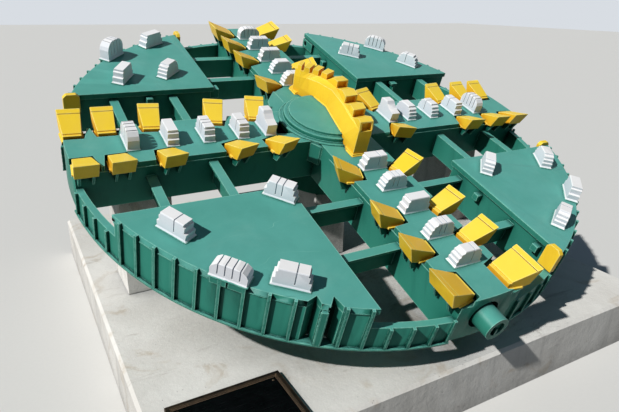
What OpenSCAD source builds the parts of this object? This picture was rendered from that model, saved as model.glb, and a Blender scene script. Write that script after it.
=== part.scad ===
// Tunnel boring machine cutterhead lying face up, tilted, on a concrete plinth.
// Millimetres. The plinth stands on z = 0, centred on the origin; +Y points to the raised side.
// The head is drawn in its own frame, face at z = 0, and placed by on_head().

/* [Plinth] */
// width of the slab along X
plinth_w = 2640; // [2500:10:3200]
// depth of the slab along Y
plinth_d = 2500; // [2400:10:3200]
// height of the slab
plinth_h = 254; // [150:2:400]
// chamfer along the slab's upper edges
plinth_chamfer = 14; // [4:1:30]

/* [Placing the head] */
// tilt of the head about the X axis
head_tilt = 18.8; // [14:0.1:19]
// height of the face's centre above the slab
head_rise = 800; // [795:5:1000]
// sideways place of the head's centre
head_x = 22; // [-40:1:40]
// place of the head's centre along Y
head_y = 7; // [-40:1:40]

/* [Head] */
// radius of the sector plates and of the rim skin
head_r = 1387; // [1380:1:1440]
// depth of the head from its face to the rim's lower edge
head_depth = 228; // [200:2:260]
// thickness of the face plates
plate_t = 30; // [20:1:40]
// thickness of the side walls
wall_t = 24; // [14:1:30]
// half the width of a slot's far edge: distance from the spoke's axis to the sector plate
slot_edge = 505; // [480:1:540]
// cut across the inner corner of the front sector plate, along each edge
corner_cut = 132; // [60:2:180]

/* [Rim] */
// thickness of the rim skin
skin_t = 30; // [16:1:40]
// height of the low rim across the slots
slot_rim_h = 123; // [90:1:150]
// how far the ribs stand out of the skin
rib_out = 13; // [8:1:20]
// width of a rib
rib_w = 13; // [8:1:20]
// angle between the ribs
rib_step = 3.97; // [3.5:0.01:6]
// height of the bottom lip
lip_h = 9; // [6:1:16]
// how far the bottom lip stands out of the skin
lip_out = 15; // [14:1:22]

/* [Spokes] */
// half width of a spoke
spoke_half = 165; // [150:1:180]
// depth of the seat recesses from the spoke's edge
seat_in = 88; // [70:1:105]
// half the width of a seat recess at the spoke's edge
seat_half_edge = 70; // [60:1:78]
// half the width of a seat recess at its bottom
seat_half_in = 50; // [46:1:60]

/* [Hub] */
// place of the hub's centre along X, from the head's centre
hub_x = -10; // [-20:1:0]
// place of the hub's centre along Y, from the head's centre
hub_y = 22; // [10:1:30]
// radius of the flange round the hub
flange_r = 268; // [262:1:290]
// how far the flange stands out of the face
flange_h = 5; // [3:1:10]
// radius of the raised ring
ring_r = 247; // [235:1:256]
// height of the ring's top above the face
ring_h = 30; // [20:1:36]
// radius of the disc on top
cap_r = 222; // [200:1:232]
// height of the disc above the ring
cap_h = 16; // [8:1:24]
// radius of the drum under the hub
drum_r = 238; // [226:1:250]
// depth of the drum below the face
drum_depth = 350; // [300:2:380]

/* [Centre cutter] */
// height at which the crest's teeth start
root_h = 150; // [146:2:180]
// height of a tooth's front face
crest_tooth_h = 41; // [20:1:50]
// height of the crest's two feet
crest_foot_h = 12; // [6:1:20]

/* [White bits] */
// length of a bit's foot along its path
bit_l = 150; // [130:1:170]
// width of a bit's foot across its path
bit_w = 62; // [50:1:80]
// height of a bit
bit_h = 80; // [60:1:110]

// length of the foot of a bit on a sector plate
plate_bit_l = 156; // [130:1:170]
// width of the foot of a bit on a sector plate
plate_bit_w = 66; // [50:1:80]

/* [Scraper teeth] */
// distance from the spoke's axis to a tooth's cutting edge
tooth_reach = 247; // [230:1:270]
// height of the cutting edge above the face
tooth_h = 67; // [50:1:80]
// width of the cutting edge
tooth_w = 108; // [90:1:120]
// width of a tooth at its back edge
tooth_back_w = 82; // [70:1:96]

/* [Copy cutter] */
// radius of the ram
ram_r = 57; // [45:1:64]
// how far the ram stands out of the head's rim
ram_out = 82; // [50:1:140]
// depth of the ram's axis below the face
ram_drop = 106; // [98:1:114]
// distance of the ram's axis from the spoke's axis, towards quarter A
ram_side = 21; // [0:1:40]

/* [Hidden] */

// which node to draw

$fn = 180;

// direction of each spoke about the head's axis
SPOKE_ANGLE = [0, 90, 180, 270, 0];
// direction of each quarter: it lies between this angle and 90 degrees more
A_AT = 180;
B_AT = 90;
C_AT = 0;
D_AT = 270;

// scraper teeth of each spoke: [distance out as a share of the head's radius,
// side of the spoke, turn, width factor]
TEETH_1 = [[0.930, 1, 0, 1.38], [0.765, 1, 5, 1], [0.603, 1, 9, 1], [0.353, 1, 18, 1],
    [0.930, -1, 0, 1.38], [0.765, -1, 5, 1], [0.493, -1, 14, 1.25]];
TEETH_2 = [[0.962, 1, 0, 1], [0.852, 1, 2, 1], [0.691, 1, 6, 1], [0.448, 1, 15, 1],
    [0.287, 1, 18, 1], [0.966, -1, 3, 1], [0.855, -1, 2, 1], [0.700, -1, 7, 1],
    [0.462, -1, 14, 1], [0.290, -1, 15, 1]];
TEETH_3 = [[0.936, 1, 0, 1.5], [0.765, 1, 5, 1], [0.603, 1, 9, 1], [0.373, 1, 18, 1],
    [0.934, -1, 0, 1.46], [0.765, -1, 5, 1], [0.603, -1, 9, 1], [0.353, -1, 18, 1]];
TEETH_4 = [[0.937, 1, 2, 1], [0.823, 1, 3, 1], [0.668, 1, 5, 1], [0.276, 1, 16, 1],
    [0.937, -1, 2, 1], [0.823, -1, 3, 1], [0.668, -1, 5, 1], [0.293, -1, 18, 1]];
// white bits of each spoke: [distance out as a share of the head's radius, share of bit_h,
// shape, grooves]
BITS_1 = [[0.353, 1, 1, 1], [0.477, 1, 1, 0], [0.607, 1, 0, 1], [0.743, 1, 0, 2], [0.871, 1, 2, 3]];
BITS_2 = [[0.288, 1.4, 3, 0], [0.397, 1, 0, 1], [0.529, 1, 0, 2], [0.660, 1, 0, 0],
    [0.795, 1.2, 2, 3]];
BITS_3 = [[0.328, 1, 0, 1], [0.455, 1, 1, 2], [0.585, 1, 0, 0], [0.717, 1, 1, 2],
    [0.848, 1, 1, 1]];
BITS_4 = [[0.291, 1.3, 4, 0], [0.391, 1, 1, 0], [0.518, 1, 1, 1], [0.657, 1, 0, 1],
    [0.779, 1.2, 2, 3]];

module on_head() {
    translate([head_x, head_y, plinth_h + head_rise])
        rotate([head_tilt, 0, 0])
            children();
}

module slab(z0, z1) {
    translate([0, 0, z0])
        linear_extrude(z1 - z0)
            children();
}

// Plinth and supports

module plinth() {
    color("lightgrey")
        hull() {
            translate([-plinth_w / 2, -plinth_d / 2, 0])
                cube([plinth_w, plinth_d, plinth_h - plinth_chamfer]);
            translate([-plinth_w / 2 + plinth_chamfer, -plinth_d / 2 + plinth_chamfer, 0])
                cube([plinth_w - 2 * plinth_chamfer, plinth_d - 2 * plinth_chamfer, plinth_h]);
        }
}

// piers: [x of the low corner, y of the low corner, size along x, size along y,
// depth below the face of what the pier carries]
PIERS = [[-1165, 8, 260, 320, head_depth], [950, 8, 260, 320, head_depth],
    [-100, -70, 200, 330, drum_depth]];

module below_head(drop) {
    on_head()
        translate([-2 * head_r, -2 * head_r, -drop - 4 * head_r])
            cube([4 * head_r, 4 * head_r, 4 * head_r]);
}

module support_piers() {
    color("lightgrey")
        for (p = PIERS)
            intersection() {
                translate([p[0], p[1], plinth_h])
                    cube([p[2], p[3], 2 * head_rise]);
                below_head(p[4]);
            }
}

// Plaque on the slab's front corner

plaque_l = 470;
plaque_w = 300;
// distances of the plaque from the slab's front corner
plaque_from_side = 85;
plaque_from_front = 25;
plaque_t = 22;
plaque_border = 18;
plaque_plate_t = 14;

module plaque_outline(inset) {
    translate([inset, inset])
        square([plaque_l - 2 * inset, plaque_w - 2 * inset]);
}

module at_plaque() {
    translate([plaque_from_side - plinth_w / 2, plaque_from_front - plinth_d / 2, plinth_h])
        children();
}

module plaque_frame() {
    color("peru")
        at_plaque()
            slab(0, plaque_t)
                difference() {
                    plaque_outline(0);
                    plaque_outline(plaque_border);
                }
}

module plaque_plate() {
    color("black")
        at_plaque()
            slab(0, plaque_plate_t)
                plaque_outline(plaque_border);
}

// Hub

module hub_circle(r) {
    translate([hub_x, hub_y])
        circle(r);
}

// plate that fills the corner between spokes 1 and 2
corner_reach = 408;
corner_bay = [215, 345];
corner_end = [255, 290];

module corner_plate() {
    polygon([[-spoke_half, spoke_half], [-spoke_half, corner_reach], [-corner_bay[0], corner_bay[1]],
        [-corner_end[0], corner_end[1]], [-corner_end[0] - 30, spoke_half]]);
}

// post in the corner between the drum and spoke 3, on the side of quarter A
post_out = 44;
post_back = 60;
post_top = -8;
post_bottom = -120;

module hub_post() {
    slab(post_bottom, post_top)
        difference() {
            polygon([[-spoke_half - post_out, -spoke_half], [-spoke_half - 10, -spoke_half - post_back + 6],
                [-spoke_half, -spoke_half - post_back], [-spoke_half, -spoke_half]]);
            hub_circle(drum_r);
        }
}

module hub_plate() {
    color("seagreen")
        on_head()
            union() {
                slab(-plate_t, 0) {
                    hub_circle(flange_r);
                    corner_plate();
                }
                hub_post();
            }
}

module hub_drum() {
    color("darkgreen")
        on_head()
            slab(-drum_depth, -plate_t)
                hub_circle(drum_r);
}

// Centre cutter: sections along its curve, from the end beside spoke 3 to the end at spoke 1:
// [inner face at the foot x, y, crease x, y, z, tooth row's inner side x, y, outer side x, y]
CREST = [[-51, -342, -51, -342, 139, -50, -342, 32, -342],
    [-42, -205, -18, -209, 145, -12, -210, 72, -200],
    [-12, -62, 16, -62, 148, 26, -62, 110, -54],
    [22, 95, 38, 100, 148, 78, 116, 156, 122],
    [10, 216, 24, 226, 134, 70, 222, 140, 258],
    [-2, 262, 8, 276, 126, 42, 275, 105, 320],
    [-14, 306, -8, 318, 118, 6, 318, 66, 368],
    [-30, 352, -32, 358, 110, -28, 358, 22, 412],
    [-44, 396, -46, 400, 104, -43, 400, 0, 446]];
sections = len(CREST);
per = 7;

function crest_side(first) = [for (c = CREST) [c[first], c[first + 1]]];
function back(list) = [for (i = [len(list) - 1:-1:0]) list[i]];

module crest_plan() {
    polygon(concat(crest_side(0), back(crest_side(7))));
}

// a place between two sections, at share t of the way, with its top at height z: the points run
// from the foot's inner side over the top to the foot's outer side
function between(near, far, t) = [for (k = [0:len(near) - 1]) near[k] + (far[k] - near[k]) * t];
function profile(c, z) = [[c[0], c[1], 0], [c[0], c[1], ring_h + cap_h], [c[2], c[3], c[4]],
    [c[5], c[6], root_h], [c[5], c[6], z], [c[7], c[8], z], [c[7], c[8], 0]];

// course of each tooth between its two sections: [share at which its front has risen, share to
// which its top is flat, share at which its back is down, share of the teeth's height]
RUNS = [[0.09, 0.42, 0.98, 1], [0.02, 0.42, 0.98, 1], [0.02, 0.42, 0.98, 1], [0.02, 0.42, 0.98, 1],
    [0.03, 0.66, 0.72, 0.85], [0.03, 0.66, 0.72, 0.8], [0.03, 0.66, 0.72, 0.75],
    [0.03, 0.66, 0.72, 0.7]];
// pockets in the fronts of the long teeth
pockets = 4;
pocket_half = 0.4;
pocket_depth = 14;
pocket_roof = 6;
pocket_sill = 8;

module crest_body() {
    low = root_h + 1;
    top = [for (run = RUNS) root_h + crest_tooth_h * run[3]];
    rows = concat([for (i = [0:sections - 2]) each [profile(CREST[i], low),
        profile(between(CREST[i], CREST[i + 1], RUNS[i][0]), top[i]),
        profile(between(CREST[i], CREST[i + 1], RUNS[i][1]), top[i]),
        profile(between(CREST[i], CREST[i + 1], RUNS[i][2]), low)]],
        [profile(CREST[sections - 1], low)]);
    last = (len(rows) - 1) * per;
    walls = [for (i = [0:len(rows) - 2], j = [0:per - 1]) each
        [[i * per + j, (i + 1) * per + j, i * per + (j + 1) % per],
        [i * per + (j + 1) % per, (i + 1) * per + j, (i + 1) * per + (j + 1) % per]]];
    front = [for (j = [1:per - 2]) [0, j, j + 1]];
    rear = [for (j = [1:per - 2]) [last, last + j + 1, last + j]];
    polyhedron([for (r = rows) each r], concat(walls, front, rear));
}

module crest_pocket(i) {
    c = between(CREST[i], CREST[i + 1], RUNS[i][0]);
    half = pocket_half * norm([c[7] - c[5], c[8] - c[6]]);
    translate([(c[5] + c[7]) / 2, (c[6] + c[8]) / 2, 0])
        rotate([0, 0, atan2(c[8] - c[6], c[7] - c[5])])
            slab(root_h - pocket_sill, root_h + crest_tooth_h - pocket_roof)
                polygon([[-half, -pocket_depth], [half, -pocket_depth], [half * 0.8, pocket_depth],
                    [-half * 0.8, pocket_depth]]);
}

// feet at the crest's ends: [[x, y], ...]
crest_end = 452;
FOOT_NEAR = [[-12, -232], [-57, -271], [-57, -350], [40, -350], [60, -250]];
FOOT_FAR = [[-48, 348], [-48, 427], [-10, crest_end], [30, 425], [30, 352]];

module centre_cutter() {
    color("gold")
        on_head() {
            difference() {
                crest_body();
                for (i = [0:pockets - 1])
                    crest_pocket(i);
            }
            slab(0, crest_foot_h) {
                polygon(FOOT_NEAR);
                polygon(FOOT_FAR);
            }
        }
}

module hub_disc() {
    color("seagreen")
        on_head()
            difference() {
                union() {
                    slab(0, flange_h)
                        hub_circle(flange_r);
                    slab(0, ring_h)
                        hub_circle(ring_r);
                    slab(0, ring_h + cap_h)
                        hub_circle(cap_r);
                }
                slab(-1, ring_h + cap_h + 1) {
                    crest_plan();
                    polygon(FOOT_NEAR);
                    polygon(FOOT_FAR);
                }
            }
}

// Spokes: drawn along +X, turned to their place

module at_tooth(t) {
    mirror([0, t[1] < 0 ? 1 : 0, 0])
        translate([t[0] * head_r, tooth_turn_at, 0])
            rotate([0, 0, t[2]])
                translate([0, -tooth_turn_at, 0])
                    children();
}

module seat_cuts(teeth) {
    flare = (seat_half_edge - seat_half_in) / seat_in;
    low = spoke_half - seat_in;
    high = spoke_half + seat_in;
    for (t = teeth)
        at_tooth(t)
            polygon([[-(seat_half_in + flare * (high - low)) * t[3], high], [-seat_half_in * t[3], low],
                [seat_half_in * t[3], low], [(seat_half_in + flare * (high - low)) * t[3], high]]);
}

// the hub's circle as seen from a spoke's own frame
module hub_from(n, r) {
    rotate(-SPOKE_ANGLE[n])
        hub_circle(r);
}

module spoke_outline(n, teeth) {
    difference() {
        intersection() {
            translate([spoke_half, -spoke_half])
                square([head_r, 2 * spoke_half]);
            circle(head_r);
        }
        hub_from(n, flange_r);
        seat_cuts(teeth);
    }
}

module spoke_walls(n) {
    difference() {
        intersection() {
            translate([spoke_half, -spoke_half])
                square([head_r, 2 * spoke_half]);
            circle(head_r);
        }
        hub_from(n, drum_r);
        translate([0, -spoke_half + wall_t])
            square([head_r - 2 * wall_t, 2 * (spoke_half - wall_t)]);
    }
}

module spoke(n, teeth, bore) {
    color("seagreen")
        difference() {
            union() {
                slab(-plate_t, 0)
                    spoke_outline(n, teeth);
                slab(-head_depth, -plate_t)
                    spoke_walls(n);
                slab(-head_depth, -head_depth + wall_t)
                    difference() {
                        translate([spoke_half, -spoke_half + wall_t])
                            square([head_r - 2 * wall_t - spoke_half, 2 * (spoke_half - wall_t)]);
                        hub_from(n, drum_r);
                    }
            }
            if (bore > 0)
                along_ram(head_r - 3 * wall_t, head_r + wall_t, bore);
        }
}

// round bar along the ram's axis, in spoke 3's frame
module along_ram(x0, x1, r) {
    translate([x0, -ram_side, -ram_drop])
        rotate([0, 90, 0])
            cylinder(h = x1 - x0, r = r);
}

// walls across the inside of spoke 3 that carry the ram's sleeve
module bulkhead(x) {
    difference() {
        slab(-head_depth + wall_t, -plate_t - ledge_t)
            translate([x, -spoke_half + wall_t])
                square([wall_t, 2 * (spoke_half - wall_t)]);
        along_ram(x - wall_t, x + 2 * wall_t, sleeve_r);
    }
}

module at_spoke(n) {
    on_head()
        rotate([0, 0, SPOKE_ANGLE[n]])
            children();
}

sleeve_r = 68;
// radius of the hole in the spoke's end wall
ram_hole_r = 74;
sleeve_l = 240;
// how far the sleeve's mouth lies behind the rim
sleeve_back = 62;
sleeve_end = head_r - sleeve_back;
BULKHEADS = [sleeve_end - sleeve_l + wall_t, sleeve_end - 3 * wall_t];

// three-cornered opening in spoke 2's plate beside the hub, in that spoke's frame
SPOKE_PORT = [[356, 58], [270, 70], [264, -95], [342, 11]];

module spoke_1() {
    at_spoke(1)
        spoke(1, TEETH_1, 0);
}

module spoke_2() {
    at_spoke(2)
        difference() {
            spoke(2, TEETH_2, 0);
            slab(-plate_t - 1, 1)
                polygon(SPOKE_PORT);
        }
}

module spoke_3() {
    at_spoke(3)
        union() {
            spoke(3, TEETH_3, ram_hole_r);
            for (x = BULKHEADS)
                bulkhead(x);
        }
}

module spoke_4() {
    at_spoke(4)
        spoke(4, TEETH_4, 0);
}

// Seats: a ledge in each recess and two gussets under each tooth's overhang

gusset_h = 44;
gusset_t = 12;
gusset_at = 0.27;
ledge_t = 12;
tooth_heel = 176;
tooth_toe = tooth_reach - 32;
toe_z = -18;

module seat(t) {
    difference() {
        at_tooth(t)
            for (x = [-gusset_at, gusset_at] * tooth_w * t[3])
                translate([x - gusset_t / 2, 0, 0])
                    rotate([90, 0, 90])
                        linear_extrude(gusset_t)
                            polygon([[tooth_back, -plate_t - gusset_h], [tooth_back, -plate_t],
                                [tooth_heel, -plate_t], [tooth_toe, toe_z],
                                [tooth_heel + 14, -plate_t - gusset_h]]);
        slab(-head_depth, plate_t)
            translate([0, -spoke_half])
                square([2 * head_r, 2 * spoke_half]);
    }
    half = seat_half_edge * t[3];
    x0 = t[0] * head_r - half;
    x1 = min(t[0] * head_r + half, head_r - 2 * wall_t);
    slab(-plate_t - ledge_t, -plate_t)
        mirror([0, t[1] < 0 ? 1 : 0])
            translate([x0, spoke_half - seat_in - ledge_t])
                square([x1 - x0, seat_in + ledge_t - wall_t]);
}

module seats(teeth) {
    color("seagreen")
        for (t = teeth)
            seat(t);
}

// Scraper teeth: section across the spoke, swept along it and tapered in plan

tooth_back = 94;
tooth_turn_at = 130;
tooth_step = 13;
tooth_base_h = 7;
tooth_riser = 7;
// groove between a tooth's body and the insert at its cutting edge
insert_l = 26;
insert_groove = 4;
// how far the base plate stands out at a tooth's ends, and its thickness
tooth_base_out = 7;
tooth_base_t = 10;

// height of the rake face at distance y from the spoke's axis
function rake(y) = tooth_base_h + tooth_riser + (tooth_h - tooth_base_h - tooth_riser)
    * (y - tooth_back - tooth_step) / (tooth_reach - tooth_back - tooth_step);

module tooth_section() {
    groove = tooth_reach - insert_l;
    polygon([[tooth_back, -plate_t], [tooth_back, tooth_base_h],
        [tooth_back + tooth_step, tooth_base_h], [tooth_back + tooth_step, rake(tooth_back + tooth_step)],
        [groove - insert_groove, rake(groove - insert_groove)],
        [groove - insert_groove / 2, rake(groove) - insert_groove], [groove, rake(groove) + 1],
        [tooth_reach, tooth_h], [tooth_toe, toe_z], [tooth_heel, -plate_t]]);
}

// plan of a tooth from its back edge to distance y, wider by more at each end
module tooth_plan(width, y, more) {
    half_back = tooth_back_w * width / 2 + more;
    half_out = tooth_w * width / 2 + more;
    half = half_back + (half_out - half_back) * (y - tooth_back) / (tooth_reach - tooth_back);
    polygon([[-half_back, tooth_back], [half_back, tooth_back], [half, y], [-half, y]]);
}

module tooth(width) {
    intersection() {
        rotate([90, 0, 90])
            translate([0, 0, -tooth_w])
                linear_extrude(2 * tooth_w)
                    tooth_section();
        slab(-2 * plate_t, 2 * tooth_h)
            tooth_plan(width, tooth_reach, 0);
    }
    slab(-plate_t, -plate_t + tooth_base_t)
        tooth_plan(width, tooth_heel, tooth_base_out);
}

module teeth(list) {
    color("gold")
        for (t = list)
            at_tooth(t)
                tooth(t[3]);
}

// White bits: a stepped outline along the bit's path, sides that lean in, grooves across

// halves of a bit's outline from the foot's end to the top: [share of the half length, share of
// the height]
FLAT = [[1, 0], [1, 0.05], [0.91, 0.13], [0.95, 0.44], [0.80, 0.49], [0.83, 0.80], [0.72, 0.85],
    [0.75, 1]];
ARCHED = [[1, 0], [1, 0.05], [0.90, 0.13], [0.94, 0.36], [0.84, 0.40], [0.87, 0.60], [0.73, 0.65],
    [0.75, 0.82], [0.54, 0.88], [0.52, 1]];
DOMED = [[1, 0], [1, 0.05], [0.95, 0.10], [0.97, 0.55], [0.88, 0.74], [0.66, 0.93], [0.34, 1]];
LOW = [[1, 0], [1, 0.05], [0.91, 0.13], [0.99, 0.58], [0.78, 0.62], [0.40, 0.69], [0.10, 0.86]];
HIGH = [[1, 0], [1, 0.05], [0.91, 0.13], [0.92, 0.42], [0.78, 0.47], [0.80, 0.94], [0.66, 1], [0.05, 1]];
SHAPES = [[FLAT, FLAT], [ARCHED, ARCHED], [DOMED, DOMED], [LOW, HIGH], [HIGH, LOW]];
// half of the section across: [share of the half width, share of the height]
SIDE = [[1, 0], [1, 0.05], [0.89, 0.13], [0.83, 0.94], [0.76, 1]];
// grooves across a bit: [[places as shares of the half length], share of the width and share of
// the height that the core between them keeps]
GROOVES = [[[], 1, 1], [[0.16], 0.72, 0.91], [[-0.24, 0.14], 0.72, 0.91],
    [[-0.57, -0.19, 0.19, 0.57], 0.6, 0.78]];
groove_w = 5;
groove_from = 0.24;

module outline(near, far, size_x, size_y) {
    polygon(concat([for (p = near) [p[0] * size_x / 2, p[1] * size_y]],
        [for (p = back(far)) [-p[0] * size_x / 2, p[1] * size_y]]));
}

module bit_groove(length, width, height, at, core) {
    translate([0, at * length / 2 - groove_w / 2, 0])
        difference() {
            translate([-width, 0, groove_from * height])
                cube([2 * width, groove_w, height]);
            translate([-width * core[1] / 2, -1, 0])
                cube([width * core[1], groove_w + 2, height * core[2]]);
        }
}

module bit(length, width, height, shape, grooves) {
    difference() {
        intersection() {
            rotate([90, 0, 90])
                translate([0, 0, -width / 2])
                    linear_extrude(width)
                        outline(SHAPES[shape][0], SHAPES[shape][1], length, height);
            rotate([90, 0, 0])
                translate([0, 0, -length / 2])
                    linear_extrude(length)
                        outline(SIDE, SIDE, width, height);
        }
        for (at = GROOVES[grooves][0])
            bit_groove(length, width, height, at, GROOVES[grooves]);
    }
}

// gap kept between the crest's end and the bit beside it
bit_clear = 6;

module spoke_bits(list, nearest) {
    color("white")
        for (b = list)
            translate([max(b[0] * head_r, nearest), 0, 0])
                bit(bit_l, bit_w, bit_h * b[1], b[2], b[3]);
}

// bits of a sector plate: [direction from the head's centre, distance as a share of head_r,
// height as a share of bit_h, shape, grooves]
BITS_A = [[211.67, 0.9174, 1, 0, 1], [224.4, 0.5792, 1, 0, 2], [234.3, 0.9458, 1.04, 0, 1],
    [224.9, 0.9844, 0.85, 2, 3]];
BITS_B = [[135.5, 0.995, 1.4, 2, 3], [122.1, 0.9622, 1, 0, 0], [146.03, 0.858, 1, 0, 0],
    [135.8, 0.725, 1, 1, 0]];
BITS_C = [[53.0, 0.79, 1, 0, 2], [45.8, 0.985, 1.1, 2, 3], [32.93, 0.9071, 1, 1, 1]];
BITS_D = [[316.76, 0.651, 1, 1, 0], [329.1, 0.9075, 1, 1, 0], [316.05, 0.979, 1, 0, 0],
    [303.05, 0.944, 1, 1, 1]];

module at_bit(b) {
    rotate([0, 0, b[0]])
        translate([b[1] * head_r, 0, 0])
            children();
}

module plate_bits(list) {
    color("white")
        on_head()
            for (b = list)
                at_bit(b)
                    bit(plate_bit_l, plate_bit_w, bit_h * b[2], b[3], b[4]);
}

// Sector plates: drawn in the quarter from 0 to 90 degrees

// the side walls stand back from the plate's edges
wall_inset = 12;

module plate_outline(edge, cut, r) {
    difference() {
        intersection() {
            translate([edge, edge])
                square(head_r);
            circle(r);
        }
        if (cut > 0)
            translate([edge, edge])
                polygon([[-1, -1], [cut + 1, -1], [-1, cut + 1]]);
    }
}

// the corner cut measured along a parallel set in by d from both edges and from the cut
function cut_in(cut, d) = cut > 0 ? cut - (2 - sqrt(2)) * d : 0;

// notches in the rim's edge: [direction of the tip, depth, direction of one side and of the
// other at the edge]
NOTCHES = [[58.6, 36, 57.3, 59.5], [61.3, 46, 60.9, 62.9]];
// direction of the post between the notches
POST_AT = (NOTCHES[0][3] + NOTCHES[1][2]) / 2;

function polar(r, angle) = [r * cos(angle), r * sin(angle)];

module notch(n) {
    far = head_r + 2 * lip_out;
    polygon([polar(head_r - n[1], n[0]), polar(head_r, n[2]), polar(far, n[2]), polar(far, n[3]),
        polar(head_r, n[3])]);
}

// shelf under the bit that overhangs the cut corner: [inner edge's share of head_r, half width]
shelf_in = 0.556;
shelf_half = 46;
shelf_drop = 90;

module shelf() {
    cut_line = sqrt(2) * slot_edge + corner_cut / sqrt(2);
    slab(-plate_t, 0)
        rotate(45)
            translate([head_r * shelf_in, -shelf_half])
                square([cut_line - head_r * shelf_in + wall_t, 2 * shelf_half]);
    slab(-shelf_drop, -plate_t)
        rotate(45)
            translate([head_r * shelf_in + shelf_drop / 2, -shelf_half / 2])
                square([cut_line - head_r * shelf_in - shelf_drop / 2 + wall_inset, shelf_half]);
}

module plate(cut, notches) {
    color("seagreen")
        union() {
            slab(-plate_t, 0)
                difference() {
                    plate_outline(slot_edge, cut, head_r);
                    for (n = notches)
                        notch(n);
                }
            slab(-head_depth, -plate_t)
                difference() {
                    plate_outline(slot_edge + wall_inset, cut_in(cut, wall_inset), head_r - skin_t);
                    plate_outline(slot_edge + wall_inset + wall_t, cut_in(cut, wall_inset + wall_t),
                        head_r);
                }
            if (cut > 0)
                shelf();
        }
}

module at_quarter(turn) {
    on_head()
        rotate([0, 0, turn])
            children();
}

module plate_a() {
    at_quarter(A_AT)
        plate(corner_cut, NOTCHES);
}

module plate_b() {
    at_quarter(B_AT)
        plate(0, []);
}

module plate_c() {
    at_quarter(C_AT)
        plate(0, []);
}

module plate_d() {
    at_quarter(D_AT)
        plate(0, []);
}

// Rim

slot_angle = asin(slot_edge / head_r);

// part of a ring that lies in the quarter, off by edge from the spokes' axes
module band(r0, r1, edge) {
    intersection() {
        difference() {
            circle(r1);
            circle(r0);
        }
        translate([edge, edge])
            square(2 * head_r);
    }
}

// angle between a spoke's edge and the last rib beside it
end_rib = 0.35;

module rib(at, z1) {
    slab(-head_depth + lip_h, z1)
        difference() {
            rotate(at)
                translate([head_r - rib_w, -rib_w / 2])
                    square([rib_out + rib_w, rib_w]);
            circle(head_r);
        }
}

// bracket under a bit that overhangs the rim, in two strips
bracket_h = 32;
bracket_half = 70;
bracket_gap = 4;

module bracket(b, turn) {
    slab(-bracket_h, 0)
        difference() {
            rotate(b[0] - turn)
                for (y = [-bracket_half, bracket_gap])
                    translate([head_r - rib_w, y])
                        square([b[1] * head_r + plate_bit_w / 2 - head_r + rib_w,
                            bracket_half - bracket_gap]);
            circle(head_r);
        }
}

// the rim of one quarter: [[direction, share of head_r], ...] of its bits, pockets in the skin
module rim(turn, bits, notches) {
    low_top = -head_depth + slot_rim_h;
    spoke_angle = asin(spoke_half / head_r);
    last_rib = floor((90 - spoke_angle) / rib_step - 0.3);
    color("seagreen")
        difference() {
            union() {
                slab(-head_depth, low_top)
                    band(head_r - skin_t, head_r, spoke_half);
                slab(low_top, -plate_t)
                    band(head_r - skin_t, head_r, slot_edge + wall_inset);
                slab(-head_depth, -head_depth + lip_h)
                    band(head_r - 2, head_r + lip_out, spoke_half);
                rib(90 - spoke_angle - end_rib, low_top + rib_w);
                for (i = [2:last_rib])
                    if (len(notches) == 0 || abs(i * rib_step - POST_AT) > rib_step / 2)
                        rib(i * rib_step, (i * rib_step > slot_angle + 0.5
                        && i * rib_step < 90 - slot_angle - 0.5) ? 0 : low_top);
                for (b = bits)
                    if (b[1] * head_r + plate_bit_w / 2 > head_r)
                        bracket(b, turn);
            }
            for (n = notches)
                slab(-head_depth + lip_h, 1)
                    notch(n);
        }
}

module rim_a() {
    at_quarter(A_AT)
        rim(A_AT, BITS_A, NOTCHES);
}

module rim_b() {
    at_quarter(B_AT)
        rim(B_AT, BITS_B, []);
}

module rim_c() {
    at_quarter(C_AT)
        rim(C_AT, BITS_C, []);
}

module rim_d() {
    at_quarter(D_AT)
        rim(D_AT, BITS_D, []);
}

// Tie beams: two across each slot, from the spoke's wall to the plate's wall

beam_h = 130;
beam_web = 14;
beam_flange = 46;

// beams of a quarter: [distance along the spoke as a share of head_r, depth of the top,
// spoke: 0 for the one where the quarter starts, 1 for the one where it ends]
BEAMS_A = [[0.527, 45, 0], [0.744, 84, 0], [0.445, 54, 1], [0.681, 58, 1]];
BEAMS_B = [[0.488, 50, 0], [0.750, 76, 0], [0.528, 45, 1], [0.762, 45, 1]];
BEAMS_C = [[0.485, 35, 0], [0.746, 35, 0], [0.488, 76, 1], [0.735, 76, 1]];
BEAMS_D = [[0.415, 60, 0], [0.700, 60, 0], [0.505, 60, 1], [0.776, 76, 1]];

module beam(x, top) {
    reach = slot_edge + wall_inset - spoke_half;
    slab(-top - beam_h, -top)
        translate([x - beam_web / 2, spoke_half])
            square([beam_web, reach]);
    slab(-top - beam_web, -top)
        translate([x - beam_web / 2, spoke_half])
            square([beam_flange, reach]);
}

// draws towards the spoke where the quarter ends when last is 1
module in_slot(last) {
    mirror([last, -last, 0])
        children();
}

module beams(list) {
    color("seagreen")
        for (b = list)
            in_slot(b[2])
                beam(b[0] * head_r, b[1]);
}

module beams_a() {
    at_quarter(A_AT)
        beams(BEAMS_A);
}

module beams_b() {
    at_quarter(B_AT)
        beams(BEAMS_B);
}

module beams_c() {
    at_quarter(C_AT)
        beams(BEAMS_C);
}

module beams_d() {
    at_quarter(D_AT)
        beams(BEAMS_D);
}

// Lugs on the plates' side walls: [quarter, distance along the wall as a share of head_r,
// spoke: 0 for the one where the quarter starts, 1 for the one where it ends, depth of the top,
// size]
LUGS = [[B_AT, 0.636, 1, 38, 36], [B_AT, 0.404, 0, 30, 56], [A_AT, 0.559, 1, 54, 36],
    [A_AT, 0.854, 1, 54, 36], [D_AT, 0.544, 0, 48, 36], [D_AT, 0.845, 0, 44, 36],
    [C_AT, 0.678, 1, 72, 36]];

// stub of a bar on the wall of quarter C: [distance as a share of head_r, depth of the top, height]
STUB = [0.580, 37, 91];
stub_reach = 52;
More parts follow.
